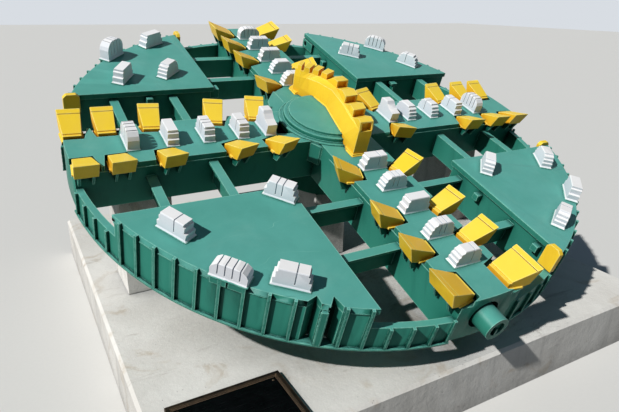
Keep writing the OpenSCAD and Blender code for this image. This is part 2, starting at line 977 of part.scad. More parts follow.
// eye plate on the other wall of quarter C: [middle as a share of head_r, depth of the top]
EYE = [0.872, 34];
eye_l = 140;
eye_h = 62;
eye_t = 20;
eye_r = 19;

module on_wall(turn, last, along) {
    at_quarter(turn)
        in_slot(last)
            translate([along * head_r, slot_edge + wall_inset, 0])
                children();
}

module lugs() {
    color("seagreen") {
        for (p = LUGS)
            on_wall(p[0], p[2], p[1])
                translate([-p[4] / 2, -p[4], -p[3] - p[4]])
                    cube(p[4]);
        on_wall(C_AT, 0, STUB[0]) {
            translate([-beam_web / 2, -stub_reach, -STUB[1] - STUB[2]])
                cube([beam_web, stub_reach, STUB[2]]);
            translate([-beam_flange / 2, -stub_reach, -STUB[1] - beam_web])
                cube([beam_flange, stub_reach, beam_web]);
        }
        on_wall(C_AT, 1, EYE[0])
            difference() {
                translate([-eye_l / 2, -eye_t, -EYE[1] - eye_h])
                    cube([eye_l, eye_t, eye_h]);
                translate([eye_l / 4, 1, -EYE[1] - eye_h / 2])
                    rotate([90, 0, 0])
                        cylinder(h = eye_t + 2, r = eye_r);
            }
    }
}

// Gauge bits on the side walls at the outer corners of plates B and D: [quarter,
// spoke: 0 for the one where the quarter starts, 1 for the one where it ends,
// how far its ends lie from the plate's corner inwards and outwards, bottom, top]
GAUGE = [[B_AT, 1, 46, 36, -88, 16], [B_AT, 0, 46, 36, -88, 16], [D_AT, 0, 70, 8, -104, 20],
    [D_AT, 1, 70, 8, -104, 20]];
gauge_out = 26;
gauge_chamfer = 16;

module gauge_bit(g) {
    corner = sqrt(head_r * head_r - slot_edge * slot_edge);
    x0 = corner - g[2];
    x1 = corner + g[3];
    rotate([90, 0, 0])
        linear_extrude(gauge_out)
            polygon([[x0, g[4]], [x1, g[4]], [x1, g[5] - gauge_chamfer], [x1 - gauge_chamfer, g[5]],
                [x0 + gauge_chamfer, g[5]], [x0, g[5] - gauge_chamfer]]);
    translate([x0, 0, g[4]])
        cube([g[2] / 2, wall_inset, -g[4] - plate_t]);
}

module gauge_bits() {
    color("gold")
        for (g = GAUGE)
            at_quarter(g[0])
                in_slot(g[1])
                    translate([0, slot_edge, 0])
                        gauge_bit(g);
}

// Post in the rim's recess
post_w = 24;

module rim_post() {
    color("seagreen")
        at_quarter(A_AT)
            slab(-head_depth + lip_h, -plate_t)
                difference() {
                    rotate(POST_AT)
                        translate([head_r - rib_w, -post_w / 2])
                            square([rib_out + rib_w + 4, post_w]);
                    circle(head_r);
                }
}

// Copy cutter: a ram in a sleeve in the front spoke's end

sleeve_gap = 0.05;
ram_l = 285;
ram_end = head_r + ram_out;
// recess in the ram's end and the tab across it
ram_recess_r = 36;
ram_recess = 12;
ram_tab = 9;

module copy_sleeve() {
    color("seagreen")
        at_spoke(3)
            difference() {
                along_ram(sleeve_end - sleeve_l, sleeve_end, sleeve_r);
                along_ram(sleeve_end - sleeve_l - 1, sleeve_end + 1, ram_r + sleeve_gap);
            }
}

module copy_cutter() {
    color("seagreen")
        at_spoke(3)
            difference() {
                along_ram(ram_end - ram_l, ram_end, ram_r);
                difference() {
                    along_ram(ram_end - ram_recess, ram_end + 1, ram_recess_r);
                    translate([ram_end - ram_recess, -ram_side - ram_tab / 2, -ram_drop - ram_r])
                        cube([ram_recess, ram_tab, ram_r]);
                }
            }
}

module seats_1() {
    at_spoke(1)
        seats(TEETH_1);
}

module seats_2() {
    at_spoke(2)
        seats(TEETH_2);
}

module seats_3() {
    at_spoke(3)
        seats(TEETH_3);
}

module seats_4() {
    at_spoke(4)
        seats(TEETH_4);
}

module teeth_1() {
    at_spoke(1)
        teeth(TEETH_1);
}

module teeth_2() {
    at_spoke(2)
        teeth(TEETH_2);
}

module teeth_3() {
    at_spoke(3)
        teeth(TEETH_3);
}

module teeth_4() {
    at_spoke(4)
        teeth(TEETH_4);
}

module bits_1() {
    at_spoke(1)
        spoke_bits(BITS_1, crest_end + bit_w / 2 + bit_clear);
}

module bits_2() {
    at_spoke(2)
        spoke_bits(BITS_2, 0);
}

module bits_3() {
    at_spoke(3)
        spoke_bits(BITS_3, 0);
}

module bits_4() {
    at_spoke(4)
        spoke_bits(BITS_4, 0);
}

module plate_bits_a() {
    plate_bits(BITS_A);
}

module plate_bits_b() {
    plate_bits(BITS_B);
}

module plate_bits_c() {
    plate_bits(BITS_C);
}

module plate_bits_d() {
    plate_bits(BITS_D);
}

plinth();
support_piers();
plaque_frame();
plaque_plate();
hub_drum();
hub_plate();
hub_disc();
centre_cutter();
spoke_1();
spoke_2();
spoke_3();
spoke_4();
seats_1();
seats_2();
seats_3();
seats_4();
plate_a();
plate_b();
plate_c();
plate_d();
rim_a();
rim_b();
rim_c();
rim_d();
beams_a();
beams_b();
beams_c();
beams_d();
lugs();
teeth_1();
teeth_2();
teeth_3();
teeth_4();
gauge_bits();
bits_1();
bits_2();
bits_3();
bits_4();
plate_bits_a();
plate_bits_b();
plate_bits_c();
plate_bits_d();
rim_post();
copy_sleeve();
copy_cutter();
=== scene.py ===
"""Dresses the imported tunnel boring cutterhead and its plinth: finishes, welds, trim and studio."""

import logging
import math
import random
from dataclasses import dataclass, field, replace
from enum import Enum
from typing import Callable, Iterable, Sequence

import bpy
from mathutils import Matrix, Vector


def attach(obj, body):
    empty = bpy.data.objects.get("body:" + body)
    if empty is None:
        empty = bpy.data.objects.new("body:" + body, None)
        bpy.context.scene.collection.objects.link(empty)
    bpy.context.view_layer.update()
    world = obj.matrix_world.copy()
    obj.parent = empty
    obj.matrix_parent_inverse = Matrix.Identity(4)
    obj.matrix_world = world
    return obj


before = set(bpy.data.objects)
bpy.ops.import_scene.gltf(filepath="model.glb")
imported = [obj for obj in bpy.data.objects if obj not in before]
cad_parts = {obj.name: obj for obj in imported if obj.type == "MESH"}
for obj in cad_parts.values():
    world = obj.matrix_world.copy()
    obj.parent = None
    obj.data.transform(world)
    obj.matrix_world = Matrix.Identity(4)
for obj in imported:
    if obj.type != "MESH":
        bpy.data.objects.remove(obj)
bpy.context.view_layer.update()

log = logging.getLogger("cutterhead")
BODY = "exhibit"
Point = tuple[float, float, float]
Colour = tuple[float, float, float]
Pair = tuple[float, float]
Socket = bpy.types.NodeSocket
Value = Socket | float | Colour
RISING: Pair = (0.0, 1.0)
FALLING: Pair = (1.0, 0.0)

# the head's own frame (face at z = 0, axis along z) placed in the row frame, in metres
HEAD_TILT = 18.8
HEAD = Matrix.Translation((0.022, 0.007, 1.054)) @ Matrix.Rotation(math.radians(HEAD_TILT), 4, "X")
HEAD_R = 1.387
SPOKE_HALF = 0.165
SLOT_EDGE = 0.505
WALL_INSET = 0.012
PLATE_T = 0.030
SKIN_T = 0.030
HEAD_DEPTH = 0.228
HUB = Vector((-0.010, 0.022, 0.0))
SPOKE_TURNS = (90.0, 180.0, 270.0, 0.0)
QUARTER_TURN = {"a": 180.0, "b": 90.0, "c": 0.0, "d": 270.0}
# where a spoke's side and a sector plate's edge reach the rim, in degrees from the spoke's middle
SPOKE_DEG = math.degrees(math.asin(SPOKE_HALF / HEAD_R))
SLOT_DEG = math.degrees(math.asin(SLOT_EDGE / HEAD_R))
BITS = ("bits_", "plate_bits_")
# rounded edges: how near split corners are joined, strips in a rounding, least angle in degrees
JOIN_REACH = 0.00005
ROUNDING_STRIPS = 2
SHARP_DEG = 24.0


class Paint(Enum):
    """Material slots of the record."""

    GREEN = "green_paint"
    YELLOW = "yellow_paint"
    WHITE = "white_paint"
    CONCRETE = "concrete"
    BRONZE = "bronze"
    PLAQUE = "dark_plate"


class Maths(Enum):
    """Steps of arithmetic that a finish takes."""

    ADD = "ADD"
    SUBTRACT = "SUBTRACT"
    MULTIPLY = "MULTIPLY"
    ABSOLUTE = "ABSOLUTE"
    MAXIMUM = "MAXIMUM"


class Axis(Enum):
    """Axes of the row frame."""

    RIGHT = 0
    UP = 2


def linear(red: int, green: int, blue: int) -> Colour:
    """Turns a colour as seen on a screen into the linear values that shaders take.

    Args:
        red: red from 0 to 255.
        green: green from 0 to 255.
        blue: blue from 0 to 255.

    Returns:
        The three linear values.
    """

    def one(value: int) -> float:
        """Gives one channel in linear light, by the curve that all screens share."""
        share = value / 255.0
        return share / 12.92 if share <= 0.04045 else ((share + 0.055) / 1.055) ** 2.4

    return (one(red), one(green), one(blue))


@dataclass(frozen=True)
class Pattern:
    """Fractal noise and what it turns into.

    The fields are its repeats per metre, how many finer layers it has, how strong they are, the
    range of its values that shows, what that range turns into, how far it is distorted, and how
    far it is squeezed along each axis.
    """

    scale: float
    detail: float = 4.0
    rough: float = 0.55
    shows: Pair = RISING
    gives: Pair = RISING
    twist: float = 0.0
    squeeze: Point | None = None


class Nodes:
    """A node tree with short ways to add to it."""

    def __init__(self, tree: bpy.types.NodeTree) -> None:
        """Empties the tree."""
        self.tree = tree
        tree.nodes.clear()

    def new(self, kind: str) -> bpy.types.Node:
        """Adds a node of a kind."""
        return self.tree.nodes.new("ShaderNode" + kind)

    def put(self, value: Value, socket: Socket) -> None:
        """Links an output to a socket, or writes a plain value on it.

        Args:
            value: a node output, a number or a colour.
            socket: where it goes.
        """
        if isinstance(value, Socket):
            self.tree.links.new(value, socket)
        elif isinstance(value, tuple) and socket.type == "RGBA":
            socket.default_value = (*value, 1.0)
        else:
            socket.default_value = value

    def maths(self, kind: Maths, first: Value, second: Value = 0.0) -> Socket:
        """Adds one step of arithmetic.

        Args:
            kind: what is done.
            first: the first value.
            second: the second value, where the step takes one.

        Returns:
            The result.
        """
        node = self.new("Math")
        node.operation = kind.value
        self.put(first, node.inputs[0])
        self.put(second, node.inputs[1])
        return node.outputs[0]

    def seen(self) -> Socket:
        """Tells what is looked at from the light that it sends on.

        Returns:
            1 where a place is looked at, mirrored or seen through, and 0 for its light.
        """
        rays = self.new("LightPath").outputs
        first = self.maths(Maths.MAXIMUM, rays["Is Camera Ray"], rays["Is Glossy Ray"])
        return self.maths(Maths.MAXIMUM, first, rays["Is Transmission Ray"])


class Graph(Nodes):
    """A material's node tree with short ways to add what the finishes need."""

    BEVEL_SAMPLES = 4
    HOLLOW_SAMPLES = 5
    NOISE_MIDDLE = 0.5

    def __init__(self, name: str) -> None:
        """Starts a tree with one surface shader.

        Args:
            name: the material's name.
        """
        self.material = bpy.data.materials.new(name)
        self.material.use_nodes = True
        super().__init__(self.material.node_tree)
        output = self.new("OutputMaterial")
        self.surface = self.new("BsdfPrincipled")
        self.put(self.surface.outputs[0], output.inputs["Surface"])
        self.place = self.new("TexCoord").outputs["Object"]
        self.normal = self.new("NewGeometry").outputs["Normal"]

    def times(self, first: Value, *others: Value) -> Socket:
        """Multiplies values.

        Args:
            first: the first value.
            others: one or more others.

        Returns:
            Their product.
        """
        for other in others:
            first = self.maths(Maths.MULTIPLY, first, other)
        return first

    def noise(self, look: Pattern) -> Socket:
        """Adds the noise of a pattern as it is.

        Args:
            look: the pattern.

        Returns:
            Its value.
        """
        place = self.place
        if look.squeeze:
            mapping = self.new("Mapping")
            self.put(place, mapping.inputs["Vector"])
            mapping.inputs["Scale"].default_value = look.squeeze
            place = mapping.outputs[0]
        node = self.new("TexNoise")
        for name, value in (("Vector", place), ("Scale", look.scale), ("Detail", look.detail),
                            ("Roughness", look.rough), ("Distortion", look.twist)):
            self.put(value, node.inputs[name])
        return node.outputs[0]

    def pattern(self, look: Pattern) -> Socket:
        """Adds the noise of a pattern and turns the range that shows into what it gives."""
        return self.steps(self.noise(look), look.shows, look.gives)

    def hairlines(self, look: Pattern, width: float) -> Socket:
        """Gives thin winding lines, where the noise of a pattern is near its middle."""
        off = self.maths(Maths.SUBTRACT, self.noise(look), self.NOISE_MIDDLE)
        return self.steps(self.maths(Maths.ABSOLUTE, off), (0.0, width), FALLING)

    def cells(self, scale: float) -> Socket:
        """Adds cell noise.

        Args:
            scale: cells per metre.

        Returns:
            The distance to the nearest cell's point.
        """
        node = self.new("TexVoronoi")
        self.put(self.place, node.inputs["Vector"])
        self.put(scale, node.inputs["Scale"])
        return node.outputs["Distance"]

    def steps(self, value: Value, shows: Pair, gives: Pair = RISING) -> Socket:
        """Maps a range smoothly onto another one, clamped at its ends.

        Args:
            value: the output that is mapped.
            shows: start and end of its range.
            gives: result at the start and at the end.

        Returns:
            The mapped value.
        """
        node = self.new("MapRange")
        node.interpolation_type = "SMOOTHSTEP"
        names = ("Value", "From Min", "From Max", "To Min", "To Max")
        for name, entry in zip(names, (value, *shows, *gives)):
            self.put(entry, node.inputs[name])
        return node.outputs[0]

    def mix(self, share: Value, first: Value, second: Value) -> Socket:
        """Mixes two colours.

        Args:
            share: how much of the second.
            first: colour or output.
            second: colour or output.

        Returns:
            The mixed colour.
        """
        node = self.new("Mix")
        node.data_type = "RGBA"
        for index, value in ((0, share), (6, first), (7, second)):
            self.put(value, node.inputs[index])
        return node.outputs[2]

    def along(self, vector: Socket, axis: Axis) -> Socket:
        """Splits off one part of a vector.

        Args:
            vector: the face's direction or the place.
            axis: which part.

        Returns:
            How far the face looks along the axis, from -1 to 1, or how far along it the place is.
        """
        node = self.new("SeparateXYZ")
        self.put(vector, node.inputs[0])
        return node.outputs[axis.value]

    def edges(self, radius: float) -> Socket:
        """Finds the edges of a piece.

        Args:
            radius: how far they reach.

        Returns:
            0 on flat faces and more towards the corner of an edge.
        """
        bevel = self.new("Bevel")
        bevel.samples = self.BEVEL_SAMPLES
        self.put(radius, bevel.inputs["Radius"])
        dot = self.new("VectorMath")
        dot.operation = "DOT_PRODUCT"
        self.put(bevel.outputs[0], dot.inputs[0])
        self.put(self.normal, dot.inputs[1])
        return self.maths(Maths.SUBTRACT, 1.0, dot.outputs["Value"])

    def hollow(self, reach: float, openness: Pair = (0.30, 0.92)) -> Socket:
        """Gives how far a place is shut in by what stands around it, from 0 to 1.

        Args:
            reach: how far away something still counts.
            openness: at the first the place counts as shut in, at the second as open.

        Returns:
            The share.
        """
        node = self.new("AmbientOcclusion")
        node.samples = self.HOLLOW_SAMPLES
        self.put(reach, node.inputs["Distance"])
        return self.steps(node.outputs["AO"], openness, FALLING)

    def bump(self, layers: Sequence[tuple[Socket, float]]) -> None:
        """Stacks bump layers on the surface.

        Args:
            layers: pairs of a height output and its depth in metres.
        """
        below: Socket | None = None
        for value, depth in layers:
            node = self.new("Bump")
            self.put(depth, node.inputs["Distance"])
            self.put(value, node.inputs["Height"])
            if below is not None:
                self.put(below, node.inputs["Normal"])
            below = node.outputs[0]
        self.put(below, self.surface.inputs["Normal"])

    def finish(self, colour: Value, roughness: Value, gloss: float,
               metallic: float = 0.0) -> bpy.types.Material:
        """Dresses the surface.

        Args:
            colour: its colour.
            roughness: how dull it is.
            gloss: strength of its reflection.
            metallic: share by which it is metal.

        Returns:
            The finished material.
        """
        for name, value in (("Base Color", colour), ("Roughness", roughness),
                            ("Specular IOR Level", gloss), ("Metallic", metallic)):
            self.put(value, self.surface.inputs[name])
        return self.material


def around(middle: float, spread: Pair) -> Pair:
    """Gives the range that lies round a value."""
    return (middle + spread[0], middle + spread[1])


@dataclass(frozen=True)
class PaintFinish:
    """Weathered paint on steel plate, with painted shade on walls, in hollows and creases, and a
    painted highlight on its worn edges.
    """

    name: str
    colour: Colour
    faded: Colour
    # wall: painted shade, a darker tone for upright faces
    wall: Colour
    # painted shade: a darker tone for hollows of upright faces
    hollow_shade: Colour
    streak: Colour
    # edge: worn paint and a painted highlight, lighter along edges; scratches take it too
    edge: Colour
    chip: Colour
    dust: Colour
    # seam: painted shade, the dark tone laid in creases and tight corners
    seam: Colour
    roughness: float = 0.36
    edge_wear_and_highlight: float = 0.92
    streaks: float = 0.35
    chips: float = 0.5
    # depth: strength of the painted shade in hollows
    depth: float = 0.85
    # crease: strength of the painted shade in creases
    crease: float = 0.92
    gloss: float = 0.09
    # painted shade: a warmer tone for faces turned away from the sun, and its strength
    lee_shade: Colour = (0.0, 0.0, 0.0)
    lee_shade_share: float = 0.0
    seed: float = 0.0
    # strength of the painted shade on upright faces
    wall_shade_share: float = 0.85
    wall_turn: Pair = (0.30, 0.78)
    top_turn: Pair = (0.55, 0.9)
    # faces turned away from the sun, which take that painted shade
    lee_shade_turn: Pair = (0.02, 0.45)
    # reach of the painted shade in hollows, then in creases
    hollow_shade_reach: float = 0.22
    crease_shade_reach: float = 0.036
    seam_shows: Pair = (0.02, 0.30)
    edge_r: float = 0.0060
    edge_shows: Pair = (0.006, 0.06)
    chip_cells: float = 24.0
    chip_shows: Pair = (0.045, 0.085)
    chip_depth: float = 0.0006
    scratch_w: float = 0.0022
    sheen: Pair = (-0.09, 0.14)
    dirt_sheen: float = 0.5
    fading: Pattern = Pattern(1.1, 3.0, 0.5, (0.36, 0.68), (0.0, 0.7))
    mottling: Pattern = Pattern(7.5, 6.0, 0.62, (0.30, 0.72), (0.0, 0.12), 0.4)
    runs: Pattern = Pattern(1.0, 5.0, 0.6, (0.50, 0.74), squeeze=(17.0, 17.0, 1.6))
    film: Pattern = Pattern(3.1, 8.0, 0.68, (0.47, 0.80), (0.0, 0.26), 0.8)
    # breaks up the painted shade in creases
    crease_shade_breakup: Pattern = Pattern(21.0, shows=(0.15, 0.45), gives=(0.70, 1.0))
    # breaks up the worn edges and their painted highlight
    rubbing_and_highlight: Pattern = Pattern(38.0, 5.0, 0.65, (0.30, 0.56), (0.25, 1.0))
    chipped: Pattern = Pattern(4.3, 2.0, shows=(0.58, 0.68))
    scratches: Pattern = Pattern(1.0, 2.0, 0.5, twist=0.3, squeeze=(1.6, 7.0, 2.4))
    scratched: Pattern = Pattern(2.1, 3.0, shows=(0.56, 0.64), gives=(0.0, 0.38))
    satin: Pattern = Pattern(5.0, 5.0, 0.6, (0.25, 0.8))
    relief: tuple[tuple[Pattern, float], ...] = (
        (Pattern(2.6, 2.0), 0.004), (Pattern(150.0, 2.0, 0.5), 0.00035))

    def base(self, g: Graph, wall: Socket) -> Socket:
        """Lays the colour with its fading, and painted shade on upright faces, in their hollows and
        on faces turned away from the sun.

        Args:
            g: the material's graph.
            wall: share by which a face counts as a wall.

        Returns:
            The colour.
        """
        fade = g.pattern(replace(self.fading, scale=self.fading.scale + self.seed))
        colour = g.mix(fade, self.colour, self.faded)
        colour = g.mix(g.pattern(self.mottling), colour, self.streak)
        # painted shade on upright faces
        colour = g.mix(g.times(wall, self.wall_shade_share), colour, self.wall)
        # painted shade on faces turned away from the sun
        if self.lee_shade_share > 0.0:
            lee_shade_mask = g.steps(g.along(g.normal, Axis.RIGHT), self.lee_shade_turn,
                                 (0.0, self.lee_shade_share))
            colour = g.mix(lee_shade_mask, colour, self.lee_shade)
        # painted shade in the hollows of upright faces
        return g.mix(g.times(g.hollow(self.hollow_shade_reach), wall, self.depth), colour, self.hollow_shade)

    def build(self) -> bpy.types.Material:
        """Makes the material.

        Returns:
            Paint with fading, runs of dirt, chips, a faint orange peel, painted shade, and worn
            edges with a painted highlight.
        """
        g = Graph(self.name)
        up = g.along(g.normal, Axis.UP)
        wall = g.steps(up, self.wall_turn, FALLING)
        colour = self.base(g, wall)
        colour = g.mix(g.times(g.pattern(self.runs), wall, self.streaks), colour, self.streak)
        lying = g.steps(up, self.top_turn)
        film = g.times(g.pattern(self.film), lying)
        colour = g.mix(film, colour, self.dust)
        # painted shade in creases and tight corners
        tight = g.hollow(self.crease_shade_reach)
        colour = g.mix(g.times(tight, g.pattern(self.crease_shade_breakup), self.crease), colour, self.seam)
        # worn paint and a painted highlight along edges, kept out of the creases
        edge = g.times(g.steps(g.edges(self.edge_r), self.edge_shows), g.pattern(self.rubbing_and_highlight),
                       g.steps(tight, self.seam_shows, FALLING), self.edge_wear_and_highlight)
        colour = g.mix(edge, colour, self.edge)
        speck = g.times(g.steps(g.cells(self.chip_cells), self.chip_shows, FALLING),
                        g.pattern(self.chipped), self.chips)
        colour = g.mix(speck, colour, self.chip)
        line = g.hairlines(self.scratches, self.scratch_w)
        colour = g.mix(g.times(line, g.pattern(self.scratched), lying), colour, self.edge)
        rough = g.pattern(replace(self.satin, gives=around(self.roughness, self.sheen)))
        dull = g.times(g.maths(Maths.ADD, film, speck), self.dirt_sheen)
        g.bump([*((g.noise(look), depth) for look, depth in self.relief),
                (g.times(speck, -1.0), self.chip_depth)])
        return g.finish(colour, g.maths(Maths.ADD, rough, dull), self.gloss)


@dataclass(frozen=True)
class ConcreteFinish:
    """Cast concrete with stains, smears, hairline cracks, pores and runs down its sides, and painted
    shade where it is sheltered.
    """

    name: str
    colour: Colour
    pale: Colour
    stain: Colour
    damp: Colour
    smudge: Colour
    rust: Colour
    # painted shade: the tone for sheltered upward faces
    shade: Colour
    # painted shade: a darker tone for places deep under the head
    deep_shade: Colour
    roughness: float = 0.86
    gloss: float = 0.08
    sheen: Pair = (-0.08, 0.08)
    side_turn: Pair = (0.3, 0.8)
    foot_height: Pair = (0.0, 0.10)
    foot_share: Pair = (0.45, 0.0)
    foot_grain: Pair = (0.3, 0.6)
    pale_grain: Pair = (0.35, 0.70)
    pale_share: Pair = (0.0, 0.20)
    rough_grain: Pair = (0.2, 0.8)
    crack_w: float = 0.0022
    crack_share: float = 0.45
    pore_cells: float = 46.0
    pore_shows: Pair = (0.05, 0.11)
    pore_share: float = 0.55
    # painted shade on sheltered upward faces
    shade_reach: float = 0.36
    shade_turn: Pair = (0.5, 0.9)
    shade_share: Pair = (0.0, 0.55)
    # painted shade deep under the head
    deep_shade_reach: float = 1.3
    deep_shade_shows: Pair = (0.10, 0.34)
    deep_shade_share: float = 0.80
    broad: Pattern = Pattern(1.7, 5.0, 0.6, (0.34, 0.68), twist=0.5)
    grain: Pattern = Pattern(55.0, 8.0, 0.75)
    blots: Pattern = Pattern(3.6, 7.0, 0.66, (0.54, 0.70), (0.0, 0.55), 1.2)
    smears: Pattern = Pattern(1.0, 6.0, 0.7, (0.57, 0.72), (0.0, 0.48), 0.6, (2.2, 9.0, 3.0))
    veins: Pattern = Pattern(1.3, 7.0, 0.62, twist=0.7)
    cracked: Pattern = Pattern(0.9, 2.0, shows=(0.54, 0.60))
    runs: Pattern = Pattern(1.0, 6.0, 0.65, (0.46, 0.72), (0.0, 0.42), squeeze=(11.0, 11.0, 1.1))
    porous: Pattern = Pattern(9.0, 3.0, shows=(0.48, 0.60))
    rusty: Pattern = Pattern(6.0, 5.0, 0.6, (0.66, 0.80), (0.0, 0.30), squeeze=(1.0, 1.0, 0.5))
    waves: Pattern = Pattern(14.0, 6.0, 0.65)
    wave_depth: float = 0.0035
    grain_depth: float = 0.0011
    pore_depth: float = 0.002

    def build(self) -> bpy.types.Material:
        """Makes the material.

        Returns:
            Concrete whose top is paler than its streaked sides, with painted shade where it is
            sheltered.
        """
        g = Graph(self.name)
        grain = g.noise(self.grain)
        colour = g.mix(g.pattern(self.broad), self.colour, self.pale)
        colour = g.mix(g.pattern(self.blots), colour, self.stain)
        colour = g.mix(g.pattern(self.smears), colour, self.smudge)
        crack = g.times(g.hairlines(self.veins, self.crack_w), g.pattern(self.cracked))
        colour = g.mix(g.times(crack, self.crack_share), colour, self.smudge)
        up = g.along(g.normal, Axis.UP)
        side = g.steps(up, self.side_turn, FALLING)
        colour = g.mix(g.times(g.pattern(self.runs), side), colour, self.damp)
        foot = g.times(g.steps(g.along(g.place, Axis.UP), self.foot_height, self.foot_share),
                       g.steps(grain, self.foot_grain))
        colour = g.mix(foot, colour, self.damp)
        colour = g.mix(g.steps(grain, self.pale_grain, self.pale_share), colour, self.pale)
        pore = g.times(g.steps(g.cells(self.pore_cells), self.pore_shows, FALLING),
                       g.pattern(self.porous))
        colour = g.mix(g.times(pore, self.pore_share), colour, self.damp)
        colour = g.mix(g.pattern(self.rusty), colour, self.rust)
        # painted shade on upward faces that stand in shelter
        shelter_shade = g.times(g.hollow(self.shade_reach),
                          g.steps(up, self.shade_turn, self.shade_share))
        colour = g.mix(shelter_shade, colour, self.shade)
        # painted shade deep under the head, where it is most shut in
        deep_shade = g.times(g.hollow(self.deep_shade_reach, self.deep_shade_shows), self.deep_shade_share)
        colour = g.mix(deep_shade, colour, self.deep_shade)
        g.bump([(g.noise(self.waves), self.wave_depth), (grain, self.grain_depth),
                (g.times(g.maths(Maths.ADD, pore, crack), -1.0), self.pore_depth)])
        rough = g.steps(grain, self.rough_grain, around(self.roughness, self.sheen))
        return g.finish(colour, rough, self.gloss)


@dataclass(frozen=True)
class MetalFinish:
    """Bare or darkened metal."""

    name: str
    colour: Colour
    tarnish: Colour
    roughness: float
    metallic: float
    gloss: float = 0.5
    sheen: Pair = (-0.05, 0.12)
    # painted highlight along the edges
    edge_r: float = 0.004
    edge_shows: Pair = (0.01, 0.1)
    edge_highlight_share: Pair = (0.0, 0.85)
    edge_highlight_lift: float = 7.0
    patches: Pattern = Pattern(16.0, 6.0, 0.65, (0.35, 0.66), twist=0.7)
    scratches: Pattern = Pattern(1.0, 3.0, 0.6, (0.3, 0.7), squeeze=(12.0, 260.0, 12.0))
    pits: Pattern = Pattern(60.0)
    pit_depth: float = 0.0006

    def build(self) -> bpy.types.Material:
        """Makes the material.

        Returns:
            Metal with patches of tarnish, fine scratches and a painted highlight on its edges.
        """
        g = Graph(self.name)
        colour = g.mix(g.pattern(self.patches), self.colour, self.tarnish)
        # painted highlight along the edges
        edge = g.steps(g.edges(self.edge_r), self.edge_shows, self.edge_highlight_share)
        colour = g.mix(edge, colour, tuple(min(1.0, c * self.edge_highlight_lift) for c in self.colour))
        rough = g.pattern(replace(self.scratches, gives=around(self.roughness, self.sheen)))
        g.bump([(g.noise(self.pits), self.pit_depth)])
        return g.finish(colour, rough, self.gloss, self.metallic)


Finish = PaintFinish | ConcreteFinish | MetalFinish
# colours in order: own, faded, painted shade on upright faces, painted shade in their hollows,
# streaks, worn edges with a painted highlight, chips, dust, painted shade in creases
GREEN = PaintFinish("aged_sea_green_paint", linear(86, 163, 151), linear(98, 172, 163),
                    linear(42, 124, 106), linear(4, 80, 66), linear(30, 92, 80),
                    linear(152, 216, 198), linear(96, 84, 66), linear(138, 188, 176),
                    linear(3, 36, 31), roughness=0.40)
# painted shade: a darker copy of the green, for parts that sit in shade under the face
SHADED_GREEN = PaintFinish("shaded_green_paint", linear(30, 104, 88), linear(44, 116, 100),
                          linear(12, 84, 68), linear(2, 56, 46), linear(10, 48, 40),
                          linear(110, 164, 148), linear(70, 58, 44), linear(84, 116, 104),
                          linear(3, 22, 18), roughness=0.52, seed=0.4)
YELLOW = PaintFinish("sun_worn_yellow_paint", linear(253, 216, 56), linear(254, 224, 88),
                     linear(254, 212, 54), linear(216, 130, 14), linear(224, 164, 44),
                     linear(255, 242, 156), linear(120, 84, 40), linear(244, 208, 120),
                     linear(176, 110, 14), roughness=0.42, streaks=0.24, depth=0.60, crease=0.20,
                     gloss=0.18, lee_shade=linear(255, 194, 58), lee_shade_share=0.75, seed=0.8)
WHITE = PaintFinish("chalky_white_paint", linear(249, 249, 250), linear(242, 241, 241),
                    linear(232, 236, 244), linear(164, 176, 194), linear(184, 182, 182),
                    linear(253, 253, 253), linear(150, 120, 92), linear(232, 228, 222),
                    linear(130, 142, 150), roughness=0.56, streaks=0.18, depth=0.45, crease=0.28,
                    seed=0.3)
# colours in order: own, pale, stains, damp, smudges, rust, painted shade under shelter, painted
# shade deep under the head
CONCRETE = ConcreteFinish("cast_concrete", linear(218, 215, 209), linear(236, 234, 229),
                          linear(186, 168, 142), linear(146, 144, 140), linear(138, 122, 106),
                          linear(186, 150, 112), linear(112, 118, 128), linear(44, 52, 58))
BRONZE = MetalFinish("darkened_bronze", linear(60, 48, 35), linear(27, 23, 19), 0.40, 0.7)
PLAQUE = MetalFinish("black_plaque_glass", linear(4, 5, 6), linear(9, 10, 12), 0.16, 0.0, 0.2)


class Finishes:
    """All finishes, each made once."""

    def __init__(self) -> None:
        """Makes the materials."""
        self.made = {f.name: f.build() for f in (GREEN, SHADED_GREEN, YELLOW, WHITE, CONCRETE,
                                                 BRONZE, PLAQUE)}

    def of(self, finish: Finish) -> bpy.types.Material:
        """Gives the material of a finish."""
        return self.made[finish.name]


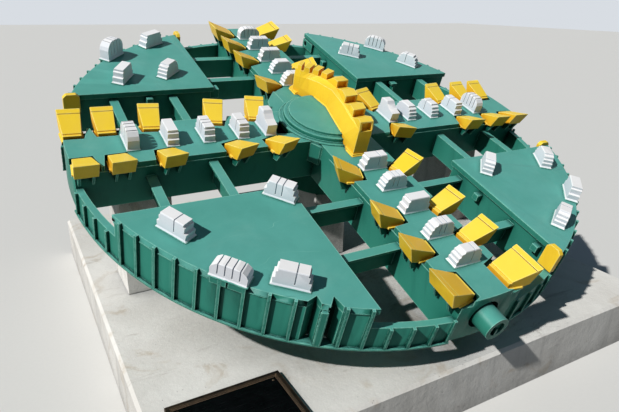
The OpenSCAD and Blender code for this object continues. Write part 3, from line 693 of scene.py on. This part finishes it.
class Shape:
    """Points and faces of one piece, in the row frame."""

    def __init__(self) -> None:
        """Starts with nothing."""
        self.points: list[Vector] = []
        self.faces: list[tuple[int, ...]] = []

    def add(self, points: Iterable[Vector], faces: Iterable[Sequence[int]],
            where: Matrix | None = None) -> None:
        """Adds a block of points and faces.

        Args:
            points: its points.
            faces: faces that count from the block's own first point.
            where: what places it, or None.
        """
        start = len(self.points)
        self.points += [where @ Vector(p) if where else Vector(p) for p in points]
        mirrored = where is not None and where.determinant() < 0
        self.faces += [tuple(start + i for i in (reversed(face) if mirrored else face))
                       for face in faces]

    def prism(self, outline: Sequence[Pair], low: float, high: float,
              where: Matrix) -> None:
        """Adds an upright prism on an outline in x and y that runs anticlockwise.

        Args:
            outline: its corners.
            low: height of its base.
            high: height of its top.
            where: what places it.
        """
        n = len(outline)
        points = [Vector((x, y, z)) for z in (low, high) for x, y in outline]
        faces = [tuple(reversed(range(n))), tuple(range(n, 2 * n))]
        faces += [(i, (i + 1) % n, n + (i + 1) % n, n + i) for i in range(n)]
        self.add(points, faces, where)

    def make(self, name: str, material: bpy.types.Material, slot: Paint, body: str = BODY,
             bevel: float = 0.0, smooth: bool = False) -> bpy.types.Object:
        """Makes the object.

        Args:
            name: the piece's name.
            material: what it is made of.
            slot: the record's slot that it belongs to; not used.
            body: the body that it rides on.
            bevel: width of the rounding of its edges, 0 for none.
            smooth: whether its faces are shaded as one surface.

        Returns:
            The object.
        """
        mesh = bpy.data.meshes.new(name)
        mesh.from_pydata([tuple(p) for p in self.points], [], self.faces)
        mesh.validate()
        mesh.materials.append(material)
        if smooth:
            mesh.polygons.foreach_set("use_smooth", [True] * len(mesh.polygons))
        obj = bpy.data.objects.new(name, mesh)
        bpy.context.scene.collection.objects.link(obj)
        if bevel > 0:
            round_edges(obj, bevel, split=False)
        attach(obj, body)
        log.info("%s: %d faces", name, len(self.faces))
        return obj


def round_edges(obj: bpy.types.Object, width: float, split: bool = True) -> None:
    """Rounds the sharp edges of a piece with modifiers.

    Args:
        obj: the piece.
        width: how far the rounding reaches from the edge, in metres.
        split: whether its corners are split, as in the frame's meshes, and are joined first.
    """
    if split:
        join = obj.modifiers.new("join_corners", "WELD")
        join.merge_threshold = JOIN_REACH
    bevel = obj.modifiers.new("round_edges", "BEVEL")
    bevel.width = width
    bevel.segments = ROUNDING_STRIPS
    bevel.limit_method = "ANGLE"
    bevel.angle_limit = math.radians(SHARP_DEG)
    bevel.harden_normals = True
    bevel.use_clamp_overlap = True


class WeldBead:
    """Weld beads: ripples of metal laid along a path."""

    SIDES = 5
    SWELL = 0.80
    RIPPLE = 0.28
    RIPPLE_TURN = 1.9
    UNEVEN = 0.16
    END_SWELL = 0.45
    WRAP = 1.24
    SINK = 0.12

    def __init__(self, shape: Shape, radius: float, step: float = 0.009, seed: int = 1) -> None:
        """Sets up beads that go into one shape.

        Args:
            shape: where they are added.
            radius: half the bead's width.
            step: distance between its rings.
            seed: start of its random draws.
        """
        self.shape = shape
        self.radius = radius
        self.step = step
        self.draw = random.Random(seed)

    def run(self, path: Sequence[Vector], out: Callable[[Vector], Vector],
            where: Matrix = HEAD, closed: bool = False) -> None:
        """Lays one bead.

        Args:
            path: corners of the path in the local frame.
            out: gives the direction that the bead bulges in, at a place.
            where: what places the local frame.
            closed: whether its end meets its start.
        """
        corners = list(path) + ([path[0]] if closed else [])
        spots: list[Vector] = []
        for a, b in zip(corners, corners[1:]):
            count = max(1, round((b - a).length / self.step))
            spots += [a.lerp(b, i / count) for i in range(count)]
        spots.append(corners[-1])
        if len(spots) < 3:
            return
        points: list[Vector] = []
        for i, spot in enumerate(spots):
            ahead = spots[min(i + 1, len(spots) - 1)] - spots[max(i - 1, 0)]
            ahead.normalize()
            up = out(spot).normalized()
            side = ahead.cross(up).normalized()
            swell = (self.SWELL + self.RIPPLE * abs(math.sin(i * self.RIPPLE_TURN))
                     + self.draw.uniform(-self.UNEVEN, self.UNEVEN))
            if not closed and i in (0, len(spots) - 1):
                swell *= self.END_SWELL
            for k in range(self.SIDES):
                turn = math.pi * (k / (self.SIDES - 1)) * self.WRAP - self.SINK * math.pi
                points.append(spot + (side * math.cos(turn) + up * math.sin(turn))
                              * self.radius * swell)
        faces = []
        n = self.SIDES
        for i in range(len(spots) - 1):
            for k in range(n - 1):
                faces.append((i * n + k, (i + 1) * n + k, (i + 1) * n + k + 1, i * n + k + 1))
            faces.append((i * n + n - 1, (i + 1) * n + n - 1, (i + 1) * n, i * n))
        if not closed:
            faces.append(tuple(range(n)))
            last = (len(spots) - 1) * n
            faces.append(tuple(last + k for k in reversed(range(n))))
        self.shape.add(points, faces, where)


def ring(centre: Vector, radius: float, z: float, start: float = 0.0, end: float = 360.0,
         count: int = 72) -> list[Vector]:
    """Gives points on an arc.

    Args:
        centre: centre of the arc.
        radius: its radius.
        z: its height.
        start: its first angle in degrees.
        end: its last angle in degrees.
        count: number of pieces that it is cut into.

    Returns:
        The points, without the last one where the arc is a whole circle.
    """
    number = count if end - start >= 360.0 else count + 1
    angles = [math.radians(start + (end - start) * i / count) for i in range(number)]
    return [Vector((centre.x + radius * math.cos(a), centre.y + radius * math.sin(a), z))
            for a in angles]


def turned(degrees: float) -> Matrix:
    """Gives the head's frame turned about its axis."""
    return HEAD @ Matrix.Rotation(math.radians(degrees), 4, "Z")


def in_slot(where: Matrix, last: bool) -> Matrix:
    """Gives a quarter's frame, drawn from its last spoke instead of its first one."""
    swap = Matrix(((0, 1, 0, 0), (1, 0, 0, 0), (0, 0, 1, 0), (0, 0, 0, 1)))
    return where @ swap if last else where


def polar(radius: float, degrees: float, z: float = 0.0) -> Vector:
    """Gives the point at a distance and direction from the head's axis."""
    turn = math.radians(degrees)
    return Vector((radius * math.cos(turn), radius * math.sin(turn), z))


def outwards(spot: Vector) -> Vector:
    """Gives the direction away from the head's axis."""
    return Vector((spot.x, spot.y, 0.0))


@dataclass
class RimBeads:
    """Rounded, rippled beads on the rim's ribs, bottom lip and post, and the plates' seam."""

    finishes: Finishes
    rib_step: float = 3.97
    rib_room: float = 0.3
    end_rib: float = 0.35
    end_top: float = -0.095
    first_rib: int = 2
    low_top: float = -0.108
    tall_top: float = -0.004
    tall_margin: float = 0.5
    rib_r: float = 0.0065
    rib_at: float = HEAD_R + 0.0075
    lip_h: float = 0.009
    lip_r: float = 0.0060
    lip_count: int = 90
    seam_r: float = 0.0042
    seam_at: float = HEAD_R - 0.0005
    seam_count: int = 6
    margin: float = 0.3
    post_at: float = 60.2
    post_half: float = 0.012
    post_r: float = 0.0050
    post_out: float = HEAD_R + 0.012
    notched: Pair = (56.8, 63.4)
    whole: Pair = (45.0, 45.0)

    def ribs(self, quarter: str) -> list[Pair]:
        """Lists a quarter's ribs.

        Args:
            quarter: its letter.

        Returns:
            Pairs of the rib's direction in the quarter and the height of its top.
        """
        last = math.floor((90.0 - SPOKE_DEG) / self.rib_step - self.rib_room)
        start = SLOT_DEG + self.tall_margin
        found = [(90.0 - SPOKE_DEG - self.end_rib, self.end_top)]
        for i in range(self.first_rib, last + 1):
            at = i * self.rib_step
            if quarter == "a" and abs(at - self.post_at) <= self.rib_step / 2:
                continue
            found.append((at, self.tall_top if start < at < 90.0 - start else self.low_top))
        return found

    def build(self) -> None:
        """Lays all beads of the rim."""
        ribs, lip, seam = Shape(), Shape(), Shape()
        rib_bead = WeldBead(ribs, self.rib_r, step=0.010, seed=21)
        lip_bead = WeldBead(lip, self.lip_r, step=0.012, seed=22)
        seam_bead = WeldBead(seam, self.seam_r, step=0.009, seed=23)
        spoke, slot = SPOKE_DEG + self.margin, SLOT_DEG + self.margin
        floor = -HEAD_DEPTH + self.lip_h
        centre = Vector((0.0, 0.0, 0.0))
        for quarter, turn in QUARTER_TURN.items():
            where = turned(turn)
            for at, top in self.ribs(quarter):
                rib_bead.run([polar(self.rib_at, at, floor), polar(self.rib_at, at, top)],
                             outwards, where)
            lip_bead.run(ring(centre, self.rib_at, -HEAD_DEPTH + self.lip_h / 2, spoke,
                              90.0 - spoke, self.lip_count), outwards, where)
            left, right = self.notched if quarter == "a" else self.whole
            for first, last in ((slot, left), (right, 90.0 - slot)):
                seam_bead.run(ring(centre, self.seam_at, -PLATE_T, first, last,
                                   max(self.seam_count, round(last - first))), outwards, where)
        edge = WeldBead(seam, self.post_r, step=0.008, seed=24)
        side = polar(1.0, self.post_at + 90.0)
        for sign in (-1.0, 1.0):
            foot = polar(self.post_out, self.post_at, floor) + side * self.post_half * sign
            edge.run([foot, foot + Vector((0.0, 0.0, -PLATE_T - floor))], outwards,
                     turned(QUARTER_TURN["a"]))
        green = self.finishes.of(GREEN)
        ribs.make("rim_rib_beads", green, Paint.GREEN, smooth=True)
        lip.make("rim_lip_bead", green, Paint.GREEN, smooth=True)
        seam.make("rim_seam_beads", green, Paint.GREEN, smooth=True)


@dataclass
class NotchBackings:
    """Folded strips that close the rim's two notches from behind."""

    finishes: Finishes
    inner: float = HEAD_R - SKIN_T - 0.0005
    thick: float = 0.004
    behind: float = 0.001
    slant: float = 1.6
    lap: float = 0.12
    fold: float = 0.25
    low: float = -0.219
    high: float = -PLATE_T - 0.0005
    notches: tuple[tuple[float, float, float, float], ...] = (
        (58.6, 0.036, 57.3, 59.5), (61.3, 0.046, 60.9, 62.9))

    def build(self) -> None:
        """Makes both strips."""
        shape = Shape()
        for tip, depth, first, last in self.notches:
            share = (depth - SKIN_T) / depth
            before = tip + (first - tip) * share - self.lap
            after = tip + (last - tip) * share + self.lap
            crease = HEAD_R - depth - self.behind
            spots = [polar(self.inner, before), polar(crease, tip),
                     polar(self.inner, after), polar(self.inner, after + self.fold),
                     polar(crease - self.thick * self.slant, tip),
                     polar(self.inner, before - self.fold)]
            shape.prism([(p.x, p.y) for p in reversed(spots)], self.low, self.high,
                        turned(QUARTER_TURN["a"]))
        # the darker green of the strips is painted shade
        shape.make("notch_backings", self.finishes.of(SHADED_GREEN), Paint.GREEN)


@dataclass
class HubWelds:
    """Fillet welds round the hub's flange, ring and disc, and along the crest's feet."""

    finishes: Finishes
    flange_r: float = 0.2685
    flange_arcs: tuple[Pair, ...] = ((-37.0, 37.0), (50.0, 217.0), (233.0, 307.0))
    ring_r: float = 0.2472
    ring_z: float = 0.005
    cap_r: float = 0.2222
    cap_z: float = 0.030
    top_z: float = 0.046
    bead: float = 0.0060
    fine_bead: float = 0.0042
    step: float = 0.008
    arc_count: int = 60
    ring_count: int = 120
    lift: float = 0.0005
    lean: float = 0.8
    crest_inner: tuple[Pair, ...] = (
        (-0.037, -0.185), (-0.012, -0.062), (0.022, 0.095), (0.008, 0.222))
    crest_outer: tuple[Pair, ...] = (
        (0.084, -0.150), (0.110, -0.054), (0.156, 0.122), (0.150, 0.158))
    near_foot: tuple[Pair, ...] = (
        (-0.012, -0.268), (-0.057, -0.290), (-0.057, -0.350), (0.040, -0.350), (0.058, -0.270))
    far_foot: tuple[Pair, ...] = (
        (-0.048, 0.348), (-0.048, 0.427), (-0.010, 0.452), (0.030, 0.425), (0.030, 0.352))

    def away(self, spot: Vector) -> Vector:
        """Gives the direction away from the hub's axis and up."""
        return outwards(spot - HUB).normalized() + Vector((0.0, 0.0, self.lean))

    def build(self) -> None:
        """Lays the welds."""
        green = Shape()
        wide = WeldBead(green, self.bead, self.step, seed=31)
        fine = WeldBead(green, self.fine_bead, self.step, seed=32)
        for start, end in self.flange_arcs:
            wide.run(ring(HUB, self.flange_r, self.lift, start, end, self.arc_count), self.away)
        for bead, radius, z in ((wide, self.ring_r, self.ring_z), (fine, self.cap_r, self.cap_z)):
            bead.run(ring(HUB, radius, z, count=self.ring_count), self.away, closed=True)
        green.make("hub_welds", self.finishes.of(GREEN), Paint.GREEN, smooth=True)
        yellow = Shape()
        foot = WeldBead(yellow, self.bead, self.step, seed=33)
        for line, side in ((self.crest_inner, -1.0), (self.crest_outer, 1.0)):
            foot.run([Vector((x, y, self.top_z)) for x, y in line],
                     lambda spot, s=side: Vector((s, 0.0, self.lean)))
        for outline in (self.near_foot, self.far_foot):
            middle = sum((Vector((x, y, 0.0)) for x, y in outline), Vector()) / len(outline)
            foot.run([Vector((x, y, self.lift)) for x, y in outline],
                     lambda spot, m=middle: (spot - m).normalized()
                     + Vector((0.0, 0.0, self.lean)), closed=True)
        yellow.make("crest_welds", self.finishes.of(YELLOW), Paint.YELLOW, smooth=True)


@dataclass
class BeamWelds:
    """Welds where the tie beams meet the spokes' and the sector plates' walls."""

    finishes: Finishes
    height: float = 0.130
    web: float = 0.014
    flange: float = 0.046
    bead: float = 0.0050
    beams: dict[str, tuple[tuple[float, float, bool], ...]] = field(default_factory=lambda: {
        "a": ((0.527, 0.045, False), (0.744, 0.084, False), (0.445, 0.054, True),
              (0.681, 0.058, True)),
        "b": ((0.488, 0.050, False), (0.750, 0.076, False), (0.528, 0.045, True),
              (0.762, 0.045, True)),
        "c": ((0.485, 0.035, False), (0.746, 0.035, False), (0.488, 0.076, True),
              (0.735, 0.076, True)),
        "d": ((0.415, 0.060, False), (0.700, 0.060, False), (0.505, 0.060, True),
              (0.776, 0.076, True))})

    def one(self, bead: WeldBead, x: float, top: float, where: Matrix) -> None:
        """Welds both ends of a beam.

        Args:
            bead: what lays the weld.
            x: distance of the beam along the spoke.
            top: depth of its top below the face.
            where: the slot's frame.
        """
        near, far = x - self.web / 2, x - self.web / 2 + self.flange
        for y, away in ((SPOKE_HALF, 1.0), (SLOT_EDGE + WALL_INSET, -1.0)):
            bead.run([Vector((near, y, -top)), Vector((far, y, -top))],
                     lambda p, a=away: Vector((0.0, a, 1.0)), where)
            bead.run([Vector((near, y, -top)), Vector((near, y, -top - self.height))],
                     lambda p, a=away: Vector((-1.0, a, 0.0)), where)
            bead.run([Vector((near + self.web, y, -top - self.web)),
                      Vector((near + self.web, y, -top - self.height))],
                     lambda p, a=away: Vector((1.0, a, 0.0)), where)

    def build(self) -> None:
        """Welds every beam."""
        shape = Shape()
        bead = WeldBead(shape, self.bead, step=0.009, seed=41)
        for quarter, rows in self.beams.items():
            for share, top, last in rows:
                self.one(bead, share * HEAD_R, top, in_slot(turned(QUARTER_TURN[quarter]), last))
        shape.make("beam_welds", self.finishes.of(GREEN), Paint.GREEN, smooth=True)


@dataclass
class PlateWelds:
    """Seams under the sector plates' overhang and along the spokes' side walls."""

    finishes: Finishes
    bead: float = 0.0050
    wall_bead: float = 0.0034
    cut_start: float = 0.655
    spoke_start: float = 0.300
    spoke_end: float = 1.372

    def build(self) -> None:
        """Lays the seams."""
        shape = Shape()
        under = WeldBead(shape, self.bead, step=0.010, seed=51)
        along = WeldBead(shape, self.wall_bead, step=0.010, seed=52)
        wall = SLOT_EDGE + WALL_INSET
        end = math.sqrt((HEAD_R - SKIN_T) ** 2 - wall ** 2)
        for quarter, turn in QUARTER_TURN.items():
            start = self.cut_start if quarter == "a" else wall
            for last in (False, True):
                under.run([Vector((start, wall, -PLATE_T)), Vector((end, wall, -PLATE_T))],
                          lambda p: Vector((0.0, -1.0, -1.0)), in_slot(turned(turn), last))
        for turn in SPOKE_TURNS:
            for side in (-1.0, 1.0):
                y = SPOKE_HALF * side
                along.run([Vector((self.spoke_start, y, -PLATE_T)),
                           Vector((self.spoke_end, y, -PLATE_T))],
                          lambda p, s=side: Vector((0.0, s, 0.0)), turned(turn))
        shape.make("plate_welds", self.finishes.of(GREEN), Paint.GREEN, smooth=True)


@dataclass
class BitWelds:
    """Thin welds round the feet of the white bits, found from the bits themselves."""

    finishes: Finishes
    bead: float = 0.0038
    foot_band: float = 0.0015
    lift: float = 0.0003
    lean: float = 0.7
    digits: int = 4

    def solids(self, mesh: bpy.types.Mesh) -> list[list[Vector]]:
        """Splits a node's mesh into its solids.

        Args:
            mesh: the node's mesh.

        Returns:
            The points of each solid, in the head's frame.
        """
        back = HEAD.inverted()
        spots = [back @ v.co for v in mesh.vertices]
        keys = [tuple(round(value, self.digits) for value in p) for p in spots]
        parent: dict[tuple, tuple] = {k: k for k in keys}

        def root(key: tuple) -> tuple:
            """Follows a point to the one that stands for its solid.

            Args:
                key: the point.

            Returns:
                The point that stands for the solid.
            """
            while parent[key] != key:
                parent[key] = parent[parent[key]]
                key = parent[key]
            return key

        for face in mesh.polygons:
            first = root(keys[face.vertices[0]])
            for index in face.vertices[1:]:
                parent[root(keys[index])] = first
        groups: dict[tuple, list[Vector]] = {}
        for key, spot in zip(keys, spots):
            groups.setdefault(root(key), []).append(spot)
        return list(groups.values())

    def foot(self, spots: Sequence[Vector]) -> list[Vector]:
        """Finds the outline of a solid's foot.

        Args:
            spots: the solid's points.

        Returns:
            Its corners, which run anticlockwise.
        """
        low = min(p.z for p in spots)
        flat = sorted({(round(p.x, self.digits), round(p.y, self.digits)) for p in spots
                       if p.z < low + self.foot_band})

        def half(row: Iterable[Pair]) -> list[Pair]:
            """Builds one side of the outline.

            Args:
                row: the foot's points from one end to the other.

            Returns:
                The side's corners without the last one.
            """
            side: list[Pair] = []
            for point in row:
                while len(side) > 1 and ((side[-1][0] - side[-2][0]) * (point[1] - side[-2][1])
                                         - (side[-1][1] - side[-2][1])
                                         * (point[0] - side[-2][0])) <= 0:
                    side.pop()
                side.append(point)
            return side[:-1]

        z = max(low, 0.0) + self.lift
        return [Vector((x, y, z)) for x, y in half(flat) + half(flat[::-1])]

    def build(self) -> None:
        """Lays a weld round every bit."""
        shape = Shape()
        bead = WeldBead(shape, self.bead, step=0.008, seed=61)
        for name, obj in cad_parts.items():
            if name.startswith(BITS):
                for spots in self.solids(obj.data):
                    outline = self.foot(spots)
                    middle = sum(outline, Vector()) / len(outline)
                    bead.run(outline, lambda spot, m=middle: (spot - m).normalized()
                             + Vector((0.0, 0.0, self.lean)), closed=True)
        shape.make("bit_welds", self.finishes.of(GREEN), Paint.GREEN, smooth=True)


@dataclass
class PlaqueTrim:
    """Moulding inside the plaque's frame and the screws that hold its blank plate."""

    finishes: Finishes
    corner: Point = (-1.235, -1.225, 0.254)
    length: float = 0.470
    width: float = 0.300
    border: float = 0.018
    lip: float = 0.007
    lip_flat: float = 0.45
    lip_foot: float = 0.001
    lip_round: float = 0.0006
    plate_top: float = 0.014
    lip_top: float = 0.0195
    screw_in: float = 0.040
    screw_r: float = 0.0055
    screw_h: float = 0.0032
    screw_sides: int = 20
    dome: tuple[Pair, ...] = ((1.0, 0.0), (0.97, 0.45), (0.80, 0.80), (0.52, 0.97), (0.20, 1.0))

    def outline(self, inset: float, z: float) -> list[Vector]:
        """Gives four corners that lie inside the frame's outer edge.

        Args:
            inset: their distance from it.
            z: their height above the plinth.

        Returns:
            The corners.
        """
        x, y, ground = self.corner
        return [Vector((x + a, y + b, ground + z)) for a, b in (
            (inset, inset), (self.length - inset, inset),
            (self.length - inset, self.width - inset), (inset, self.width - inset))]

    def moulding(self) -> None:
        """Makes the sloping strip between frame and plate."""
        shape = Shape()
        rings = [self.outline(self.border + self.lip * share, z) for share, z in (
            (0.0, self.plate_top), (0.0, self.lip_top), (self.lip_flat, self.lip_top),
            (1.0, self.plate_top + self.lip_foot), (1.0, self.plate_top))]
        points = [p for row in rings for p in row]
        count = len(rings)
        faces = [(k * 4 + i, k * 4 + (i + 1) % 4, (k + 1) % count * 4 + (i + 1) % 4,
                  (k + 1) % count * 4 + i) for k in range(count) for i in range(4)]
        shape.add(points, faces)
        shape.make("plaque_moulding", self.finishes.of(BRONZE), Paint.BRONZE,
                   bevel=self.lip_round)

    def screws(self) -> None:
        """Makes four domed screw heads."""
        shape = Shape()
        n = self.screw_sides
        last = len(self.dome) - 1
        faces = [(k * n + i, k * n + (i + 1) % n, (k + 1) * n + (i + 1) % n, (k + 1) * n + i)
                 for k in range(last) for i in range(n)]
        faces += [tuple(last * n + i for i in range(n)), tuple(reversed(range(n)))]
        for spot in self.outline(self.screw_in, self.plate_top):
            shape.add([spot + polar(self.screw_r * share, 360.0 * i / n, self.screw_h * high)
                       for share, high in self.dome for i in range(n)], faces)
        shape.make("plaque_screws", self.finishes.of(BRONZE), Paint.BRONZE, smooth=True)

    def build(self) -> None:
        """Makes both."""
        self.moulding()
        self.screws()


@dataclass
class Castings:
    """The nodes that come from the frame: each gets its finish, and all but the square ones get
    rounded edges.
    """

    finishes: Finishes
    edge: float = 0.0028
    pier_edge: float = 0.006
    square_nodes: tuple[str, ...] = ("plinth", "copy_sleeve")
    # the hub drum takes the darker green, which is painted shade
    table: tuple[tuple[tuple[str, ...], Finish], ...] = (
        (("hub_drum",), SHADED_GREEN), (("plinth", "support_piers"), CONCRETE),
        (("plaque_frame",), BRONZE), (("plaque_plate",), PLAQUE), (BITS, WHITE),
        (("teeth_", "gauge_bits", "centre_cutter"), YELLOW))

    def finish_for(self, node: str) -> Finish:
        """Chooses the finish of a node by how its name starts, and green where none is given."""
        return next((finish for starts, finish in self.table if node.startswith(starts)), GREEN)

    def dress(self) -> None:
        """Gives every node its material and rounds the edges of all but the square ones."""
        for name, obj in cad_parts.items():
            finish = self.finish_for(name)
            obj.data.materials.clear()
            obj.data.materials.append(self.finishes.of(finish))
            if name not in self.square_nodes:
                round_edges(obj, self.pier_edge if name == "support_piers" else self.edge)
            log.info("%s: %s", name, finish.name)


@dataclass
class Studio:
    """Floor, light and camera."""

    focal_px: float = 538.8
    image_px: float = 619.0
    sensor_mm: float = 36.0
    view_reach: float = 200.0
    eye: Point = (-1.568, -2.575, 1.687)
    forward: Point = (0.4628, 0.8132, -0.3528)
    right: Point = (0.872, -0.4893, 0.0162)
    sun_travel: Point = (1.0, 0.256, -0.969)
    sun_strength: float = 3.8
    sun_width: float = 1.5
    sun_colour: Colour = (1.0, 0.985, 0.955)
    sky_colour: Colour = linear(216, 221, 227)
    fill_colour: Colour = (0.46, 0.70, 1.0)
    fill_strength: float = 0.10
    floor_colour: Colour = linear(222, 221, 218)
    floor_tone: float = 0.985
    floor_grain: Pattern = Pattern(60.0, 6.0, shows=(0.3, 0.7))
    floor_rough: float = 0.9
    floor_gloss: float = 0.05
    floor_half: float = 40.0
    floor_z: float = -0.001
    bounce: float = 0.30

    def camera(self) -> None:
        """Sets the camera at the photograph's viewpoint."""
        data = bpy.data.cameras.new("camera")
        data.sensor_width = self.sensor_mm
        data.lens = self.focal_px / self.image_px * self.sensor_mm
        data.clip_end = self.view_reach
        obj = bpy.data.objects.new("camera", data)
        ahead = Vector(self.forward).normalized()
        right = Vector(self.right).normalized()
        up = right.cross(ahead).normalized()
        turn = Matrix((right, up, -ahead)).transposed().to_4x4()
        obj.matrix_world = Matrix.Translation(self.eye) @ turn
        bpy.context.scene.collection.objects.link(obj)
        bpy.context.scene.camera = obj

    def light(self) -> None:
        """Adds the sun and an even, bluer fill from the surroundings."""
        data = bpy.data.lights.new("key", "SUN")
        data.energy = self.sun_strength
        data.angle = math.radians(self.sun_width)
        data.color = self.sun_colour
        obj = bpy.data.objects.new("key", data)
        obj.rotation_euler = Vector(self.sun_travel).to_track_quat("-Z", "Y").to_euler()
        bpy.context.scene.collection.objects.link(obj)
        world = bpy.data.worlds.new("studio")
        bpy.context.scene.world = world
        world.use_nodes = True
        nodes = Nodes(world.node_tree)
        out, shown, fill = (nodes.new(kind) for kind in ("OutputWorld", "Background", "Background"))
        nodes.put(self.sky_colour, shown.inputs[0])
        nodes.put(self.fill_colour, fill.inputs[0])
        nodes.put(self.fill_strength, fill.inputs[1])
        seen = nodes.seen()
        choose = nodes.new("MixShader")
        for index, value in enumerate((seen, fill.outputs[0], shown.outputs[0])):
            nodes.put(value, choose.inputs[index])
        nodes.put(choose.outputs[0], out.inputs[0])

    def floor(self) -> None:
        """Lays a plain pale floor."""
        mesh = bpy.data.meshes.new("floor")
        half, z = self.floor_half, self.floor_z
        mesh.from_pydata([(-half, -half, z), (half, -half, z), (half, half, z), (-half, half, z)],
                         [], [(0, 1, 2, 3)])
        obj = bpy.data.objects.new("floor", mesh)
        bpy.context.scene.collection.objects.link(obj)
        g = Graph("pale_floor")
        tone, dim = (tuple(c * share for c in self.floor_colour)
                     for share in (self.floor_tone, self.bounce))
        colour = g.mix(g.pattern(self.floor_grain), self.floor_colour, tone)
        colour = g.mix(g.seen(), dim, colour)
        mesh.materials.append(g.finish(colour, self.floor_rough, self.floor_gloss))

    def build(self) -> None:
        """Sets up everything around the object."""
        self.camera()
        self.light()
        self.floor()
        bpy.context.scene.view_settings.view_transform = "Standard"


def main() -> None:
    """Builds the pieces in order and reports each one."""
    logging.basicConfig(level=logging.INFO, format="%(name)s: %(message)s")
    finishes = Finishes()
    Studio().build()
    Castings(finishes).dress()
    for part in (RimBeads, NotchBackings, HubWelds, BeamWelds, PlateWelds, BitWelds, PlaqueTrim):
        part(finishes).build()


if __name__ == "__main__":
    main()
